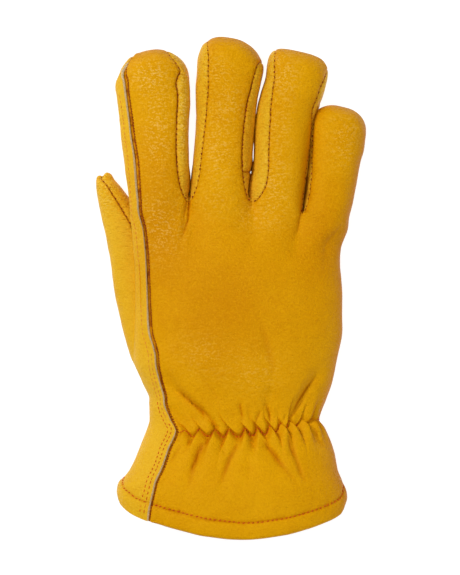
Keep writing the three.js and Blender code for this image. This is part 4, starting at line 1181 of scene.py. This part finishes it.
def leather(name, base, light, dark, wrinkles, shade):
    """Dyed grain leather: smooth, finely grained, a little glossy, with painted highlight specks, painted
    shade in its creases, seams, gathers and grooves, and painted shade of the given strength where it turns
    away from straight up.
    """
    shading = Shading(name)
    broad = shading.noise(30, 2, 0.5).outputs[0]
    middle = shading.noise(150, 4, 0.6)
    fine = shading.noise(1050, 2, 0.6).outputs[0]
    grain = shading.cells(1500, "F1")
    lines = shading.noise(1.0, 2, 0.5, shading.stretched((430, 1150, 560))).outputs[0]
    near = shading.ranged(shading.attribute("near_seam"), 0, 1, 0.3, 1.0)
    # Pale specks for the painted highlights
    highlight_specks = shading.ranged(shading.mixed(0.5, lines, fine), 0.49, 0.4, 0, 0.36)
    crease = shading.attribute("crease")
    tone = base
    for share, colour in (
        (shading.ranged(broad, 0.36, 0.64, 0, 0.35), light),
        # Dye patches, and painted shade in the gap between the middle and ring fingers
        (shading.times(shading.attribute("dyed"), 0.34), dark),
        (shading.ranged(middle.outputs[0], 0.5, 0.72, 0, 0.1), dark),
        (shading.ranged(fine, 0.52, 0.66, 0, 0.16), dark),
        (shading.ranged(fine, 0.47, 0.34, 0, 0.3), light),
        # Painted highlights: pale specks in their patches
        (shading.times(highlight_specks, shading.attribute("worn")), PALE_HIGHLIGHT),
        (shading.times(shading.ranged(lines, 0.52, 0.66, 0, wrinkles), near), dark),
        # Painted side shade, of the given strength
        (shading.times(shading.attribute("turned"), shade), dark),
        # Painted shade in seams, creases, gathers and grooves, darkest in the deepest
        (shading.ranged(crease, 0.05, 0.75, 0, 0.85), dark),
        (shading.ranged(crease, 0.5, 1.15, 0, 0.95), DEEP_SHADE),
    ):
        tone = shading.mixed(share, tone, colour)
    shading.put(shading.shader.inputs["Base Color"], tone)

    bent = shading.nodes.new("ShaderNodeVectorMath")
    bent.operation = "MULTIPLY_ADD"
    shading.put(bent.inputs[0], middle.outputs["Color"])
    bent.inputs[1].default_value = (0.004, 0.004, 0.004)
    shading.put(bent.inputs[2], shading.where)
    net = shading.ranged(shading.cells(430, "DISTANCE_TO_EDGE", bent.outputs[0]), 0.0, 0.14, 0, 1)
    height = shading.times(shading.times(lines, wrinkles * 1.6), near)
    for relief, depth in ((grain, -0.12), (net, 0.03), (fine, 0.3), (middle.outputs[0], 0.5)):
        height = shading.maths("ADD", height, shading.times(relief, depth))
    shading.bump(height)
    shading.put(shading.shader.inputs["Roughness"], shading.ranged(fine, 0.3, 0.7, 0.4, 0.56))
    shading.shader.inputs["Specular IOR Level"].default_value = 0.09
    shading.shader.inputs["Specular Tint"].default_value = (1.0, 0.72, 0.35, 1.0)
    return shading.material


def rough_stuff(name, colour, other, scale, relief, rough):
    """Fibres: the flesh side, a cut edge or thread."""
    shading = Shading(name)
    fuzz = shading.noise(scale, 4, 0.7).outputs[0]
    tone = shading.mixed(shading.ranged(fuzz, 0.35, 0.65, 0, 1), colour, other)
    shading.put(shading.shader.inputs["Base Color"], tone)
    shading.bump(shading.times(fuzz, relief))
    shading.shader.inputs["Roughness"].default_value = rough
    shading.shader.inputs["Specular IOR Level"].default_value = 0.15
    return shading.material


# The last number is the strength of the painted side shade
back_leather = leather(
    "golden_leather", linear(222, 156, 0), linear(236, 175, 8), linear(188, 101, 0), 0.3, 0.6)
side_leather = leather(
    "pale_golden_leather", linear(229, 175, 26), linear(240, 193, 54), linear(206, 126, 4), 0.5, 0.0)
flesh_side = rough_stuff("flesh_side", linear(196, 156, 92), linear(170, 128, 66), 900, 0.25, 0.95)
cut_edge = rough_stuff("cut_edge", linear(255, 238, 188), linear(218, 184, 122), 1300, 0.15, 0.9)
dark_thread = rough_stuff("dark_thread", linear(132, 40, 12), linear(160, 62, 18), 2600, 0.05, 0.7)
red_thread = rough_stuff("red_thread", linear(222, 100, 18), linear(188, 66, 10), 2600, 0.05, 0.7)
gold_thread = rough_stuff("gold_thread", linear(226, 138, 52), linear(206, 104, 34), 2600, 0.05, 0.7)


def add_piece(name, mesh):
    piece = linked(name, mesh)
    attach(piece, "root")
    return piece


pieces = {}
for skin in skins:
    grain = back_leather if skin is back else side_leather
    mesh = mesh_of(skin, (grain, flesh_side, cut_edge))
    pieces[skin.name] = add_piece(skin.name + "_skin", mesh)
    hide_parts(skin.name)


def closed_form(name, group, raise_of):
    """A closed object over a group of skins, with its open end capped."""
    places, faces = {}, []
    for skin in group:
        for id_, place in zip(skin.ids.tolist(), raise_of(skin)):
            places.setdefault(id_, place)
        covered = np.any(skin.fields["under"][skin.faces] > 0.5, axis=1)
        faces.append(skin.ids[skin.faces[~covered]])
    keys = np.array(sorted(places))
    faces = np.searchsorted(keys, np.concatenate(faces))
    rim = boundary_edges(faces)
    points = [places[key] for key in keys.tolist()]
    points.append(np.mean([points[a] for a, _ in rim], axis=0))
    polygons = [without_doubles(face) for face in faces.tolist()]
    polygons += [[b, a, len(points) - 1] for a, b in rim.tolist()]
    mesh = mesh_from(name, points, polygons)
    mesh.update()
    return linked(name, mesh)


def cut(piece, tool):
    """Take a closed form off a piece and keep the largest part that is left."""
    modifier = piece.modifiers.new("cut", "BOOLEAN")
    modifier.operation = "DIFFERENCE"
    modifier.solver = "MANIFOLD"
    modifier.object = tool
    graph = bpy.context.evaluated_depsgraph_get()
    result = bpy.data.meshes.new_from_object(piece.evaluated_get(graph))
    piece.modifiers.remove(modifier)
    piece.data = result
    edit = bmesh.new()
    edit.from_mesh(result)
    left, islands = set(edit.verts), []
    while left:
        island, front = set(), [left.pop()]
        while front:
            vertex = front.pop()
            island.add(vertex)
            for edge in vertex.link_edges:
                other = edge.other_vert(vertex)
                if other in left:
                    left.remove(other)
                    front.append(other)
        islands.append(island)
    for island in sorted(islands, key=len)[:-1]:
        bmesh.ops.delete(edit, geom=list(island), context="VERTS")
    edit.to_mesh(result)
    edit.free()


hollow = closed_form("hollow", (thumb_outer, thumb_inner), lambda skin: skin.inner + skin.normals * 0.4)
form = closed_form("form", (palm, back, *sides.values()), lambda skin: skin.outer - skin.normals * 0.9)
cut(pieces["thumb_outer_panel"], form)
cut(pieces["thumb_inner_panel"], form)
cut(pieces["palm_panel"], hollow)
for tool in (form, hollow):
    bpy.data.objects.remove(tool)
SHARP_FROM = math.radians(55)
for piece in pieces.values():
    piece.data.set_sharp_from_angle(angle=SHARP_FROM)

# Stitches: short threads that rise out of the leather and sink back into it
all_normals = np.concatenate([skin.normals for skin in skins])
normal_tree = tree_of(every)


def surface_of(*group):
    places, polygons, start = [], [], 0
    for skin in group:
        places += skin.outer.tolist()
        faces = (skin.faces + start).tolist()
        polygons += [without_doubles(face) for face in faces]
        start += len(skin.outer)
    return BVHTree.FromPolygons(places, polygons)


SECTION = 6
# Along a stitch: the share of its length, and its height and thickness in radii
RINGS = [(0.0, -0.9, 0.55), (0.18, 0.05, 0.9), (0.5, 0.45, 1.0), (0.82, 0.05, 0.9), (1.0, -0.9, 0.55)]


class Thread:
    """Stitches of one thread, gathered into one mesh."""

    def __init__(self, name, radius, material):
        self.name, self.radius, self.material = name, radius, material
        self.places, self.faces = [], []

    def stitch(self, start, end, normal):
        run = end - start
        if np.linalg.norm(run) < 0.05:
            return
        aside = unit(np.cross(run, normal))
        up = unit(np.cross(aside, run))
        first = len(self.places)
        for at, height, fat in RINGS:
            centre = start + run * at + up * height * self.radius
            for n in range(SECTION):
                turn = 2 * math.pi * n / SECTION
                spoke = aside * math.cos(turn) + up * math.sin(turn)
                self.places.append(centre + spoke * self.radius * fat)
        for ring in range(len(RINGS) - 1):
            for n in range(SECTION):
                a = first + ring * SECTION + n
                b = first + ring * SECTION + (n + 1) % SECTION
                self.faces.append([a, b, b + SECTION, a + SECTION])
        self.faces.append([first + n for n in reversed(range(SECTION))])
        last = first + (len(RINGS) - 1) * SECTION
        self.faces.append([last + n for n in range(SECTION)])

    def row(self, path, surface, step, length, lift=0.0, slant=0.0, uneven=0.12):
        """Stitches along a path, each laid on the surface where one is given."""
        lengths = np.linalg.norm(np.diff(path, axis=0), axis=1)
        along = np.concatenate([[0], np.cumsum(lengths)])
        chance = np.random.default_rng(len(self.places) + 7)
        for at in np.arange(0.5 * step, along[-1] - length, step):
            at = at + chance.uniform(-uneven, uneven) * step
            spot = np.array([at, at + length * chance.uniform(1 - uneven, 1 + uneven)])
            ends = np.stack([np.interp(spot, along, path[:, k]) for k in range(3)], axis=1)
            normal = all_normals[normal_tree.find(ends.mean(axis=0))[1]]
            if surface:
                ends = np.array([surface.find_nearest(end)[0] for end in ends])
            aside = unit(np.cross(ends[1] - ends[0], normal)) * slant * chance.uniform(0.5, 1.5)
            self.stitch(ends[0] + normal * lift + aside, ends[1] + normal * lift - aside, normal)

    def finish(self):
        places = np.array(self.places)
        places[:, 2] = np.maximum(places[:, 2], 0.0)
        mesh = mesh_from(self.name, places, self.faces)
        mesh.materials.append(self.material)
        mesh.polygons.foreach_set("use_smooth", [True] * len(self.faces))
        mesh.update()
        add_piece(self.name, mesh)


back_surface = surface_of(back)
palm_surface = surface_of(palm)
body_surface = surface_of(back, palm)

seam_thread = Thread("seam_stitches", 0.27, dark_thread)
SEAM_STITCH = {"surface": None, "step": 2.8, "length": 1.1, "lift": -0.28, "slant": 0.16, "uneven": 0.22}
TIP_STITCH = {**SEAM_STITCH, "lift": -0.55}
stations = np.linspace(0.0, 0.99, 140)
for number, side in itertools.product(range(4), ("left", "right")):
    if (number, side) in ((0, "left"), (3, "right")):
        continue
    for down in (0.0, 1.0):
        seam_thread.row(wall_point(number, side, stations, np.full(len(stations), down)), **SEAM_STITCH)
for number in range(4):
    across_tip = face_point(number, True, np.ones(60), np.linspace(0.05, 0.95, 60))
    seam_thread.row(across_tip, **TIP_STITCH)
rows = np.linspace(0.06, 2, 160)
seam_thread.row(hand_skin(("little_side", 3), np.ones(len(rows)), rows), **SEAM_STITCH)
seam_thread.row(wall_point(3, "right", stations, np.ones(len(stations))), **SEAM_STITCH)
above_web = (THUMB_ROWS > 0.5) & (THUMB_ROWS < 0.975)
seam_thread.row(thumb_point(THUMB_ROWS, upper_seam)[above_web], **SEAM_STITCH)
seam_thread.finish()


def beside_edge(places, share_of, offset):
    """Points a distance away from a strip's edge, along the strip."""
    return places + unit(share_of - places) * offset[:, None]


def lap_line(onto_palm, on_hand, on_finger, first, last):
    """A line along the lapped edge, on the palm's flap or on the back, from one station to another."""
    stations = np.linspace(first, last, 500)
    rows = stations[stations <= 2]
    along = stations[stations > 2] - 2
    strip, near = (("index_side", 0), 0.06) if onto_palm else (("back", 0), 0.03)
    edge = hand_skin(strip, np.zeros(len(rows)), rows)
    line = [beside_edge(edge, hand_skin(strip, np.full(len(rows), near), rows), on_hand(edge[:, 1]))]
    if len(along):
        drawn, where = (wall_point, "left") if onto_palm else (face_point, True)
        edge, aside = (drawn(0, where, along, np.full(len(along), share)) for share in (0.0, near))
        line.append(beside_edge(edge, aside, on_finger(along)))
    return np.concatenate(line)


def up_the_hand(on_cuff, on_hand):
    return lambda y: lerp(on_cuff, on_hand, smooth((y - 45) / 20))


# The two rows of stitches beside the lapped edge, by their distance from it on the cuff and on the hand
INNER_ROW, OUTER_ROW = up_the_hand(2.0, 1.5), up_the_hand(4.0, 3.2)
OUTER_ROW_ON_FINGER = 3.0

lap_thread = Thread("lap_stitches", 0.3, dark_thread)
line = lap_line(False, groove_on_hand, groove_on_finger, 0.03, 2.99)
lap_thread.row(line, back_surface, 1.45, 0.85, 0.12, 0.3)
lap_thread.finish()

edge_thread = Thread("edge_stitches", 0.24, red_thread)
for away, last in ((INNER_ROW, 1.05), (OUTER_ROW, 1.14)):
    edge_thread.row(lap_line(True, away, None, 0.05, last), palm_surface, 2.3, 1.6, 0.0)
edge_thread.finish()

# Up the hand they sink into the leather
faint_thread = Thread("faint_stitches", 0.2, gold_thread)
line = lap_line(True, OUTER_ROW, lambda along: OUTER_ROW_ON_FINGER + 0 * along, 1.14, 2.75)
faint_thread.row(line, palm_surface, 2.3, 1.9, -0.06)
faint_thread.row(lap_line(True, INNER_ROW, None, 1.05, 1.35), palm_surface, 2.3, 1.9, -0.06)
faint_thread.finish()

hem_thread = Thread("hem_stitches", 0.3, red_thread)
start = raw_edge_angle(HEM_BOW)
for turns, surface in (
    (np.linspace(start - 0.01, INDEX_SIDE - 2 * math.pi, 500), body_surface),
    (np.linspace(INDEX_SIDE, start + 0.02, 100), palm_surface),
):
    hem_thread.row(hand_point(hem_y(turns) + HEM_HEIGHT, turns), surface, 2.35, 1.25, 0.05, 0.32)
hem_thread.finish()

gather_thread = Thread("gather_stitches", 0.26, red_thread)
shares = np.linspace(0, 1, 90)
line = [hand_skin(("back", number), shares, np.ones(len(shares))) for number in range(4)]
line.append(hand_skin(("little_side", 3), shares * 0.55, np.ones(len(shares))))
gather_thread.row(np.concatenate(line)[4:], back_surface, 1.75, 1.35, 0.06)
gather_thread.finish()

# Camera straight above, at the photograph's scale of about two pixels a millimetre
CAMERA_HEIGHT = 2.0
CAMERA_SHIFT = -0.375 * MM  # to the left and down, to frame the glove as in the photograph
scene = bpy.context.scene
camera_data = bpy.data.cameras.new("camera")
camera_data.sensor_fit = "VERTICAL"
camera_data.sensor_height = 36
camera_data.lens = 247.9
camera = linked("camera", camera_data)
camera.location = (CAMERA_SHIFT, CAMERA_SHIFT, CAMERA_HEIGHT)
scene.camera = camera


def light(name, place, size, energy):
    data = bpy.data.lights.new(name, "AREA")
    data.shape = "DISK"
    data.size = size
    data.energy = energy
    lamp = linked(name, data)
    lamp.location = place
    lamp.rotation_euler = (-Vector(place)).to_track_quat("-Z", "Y").to_euler()


light("key", (-0.75, 0.55, 0.95), 0.5, 9.4)
light("fill", (0.9, -0.4, 0.9), 0.9, 3.4)
light("top", (-0.1, 0.1, 1.7), 0.8, 5.2)
world = bpy.data.worlds.new("world")
world.use_nodes = True
backdrop = world.node_tree.nodes["Background"]
backdrop.inputs["Color"].default_value = (1, 1, 1, 1)
backdrop.inputs["Strength"].default_value = 0.28
scene.world = world
scene.view_settings.view_transform = "Standard"

FLOOR_REACH = 3
floor_mesh = bpy.data.meshes.new("floor")
floor_corners = [(x * FLOOR_REACH, y * FLOOR_REACH, 0) for x, y in ((-1, -1), (1, -1), (1, 1), (-1, 1))]
floor_mesh.from_pydata(floor_corners, [], [(0, 1, 2, 3)])
floor_look = Shading("pale_floor")
for socket, value in (
    ("Base Color", (0.25, 0.25, 0.25, 1)), ("Roughness", 0.9), ("Emission Color", (1, 1, 1, 1)),
    ("Emission Strength", 0.9),
):
    floor_look.shader.inputs[socket].default_value = value
floor_mesh.materials.append(floor_look.material)
floor = linked("floor", floor_mesh)
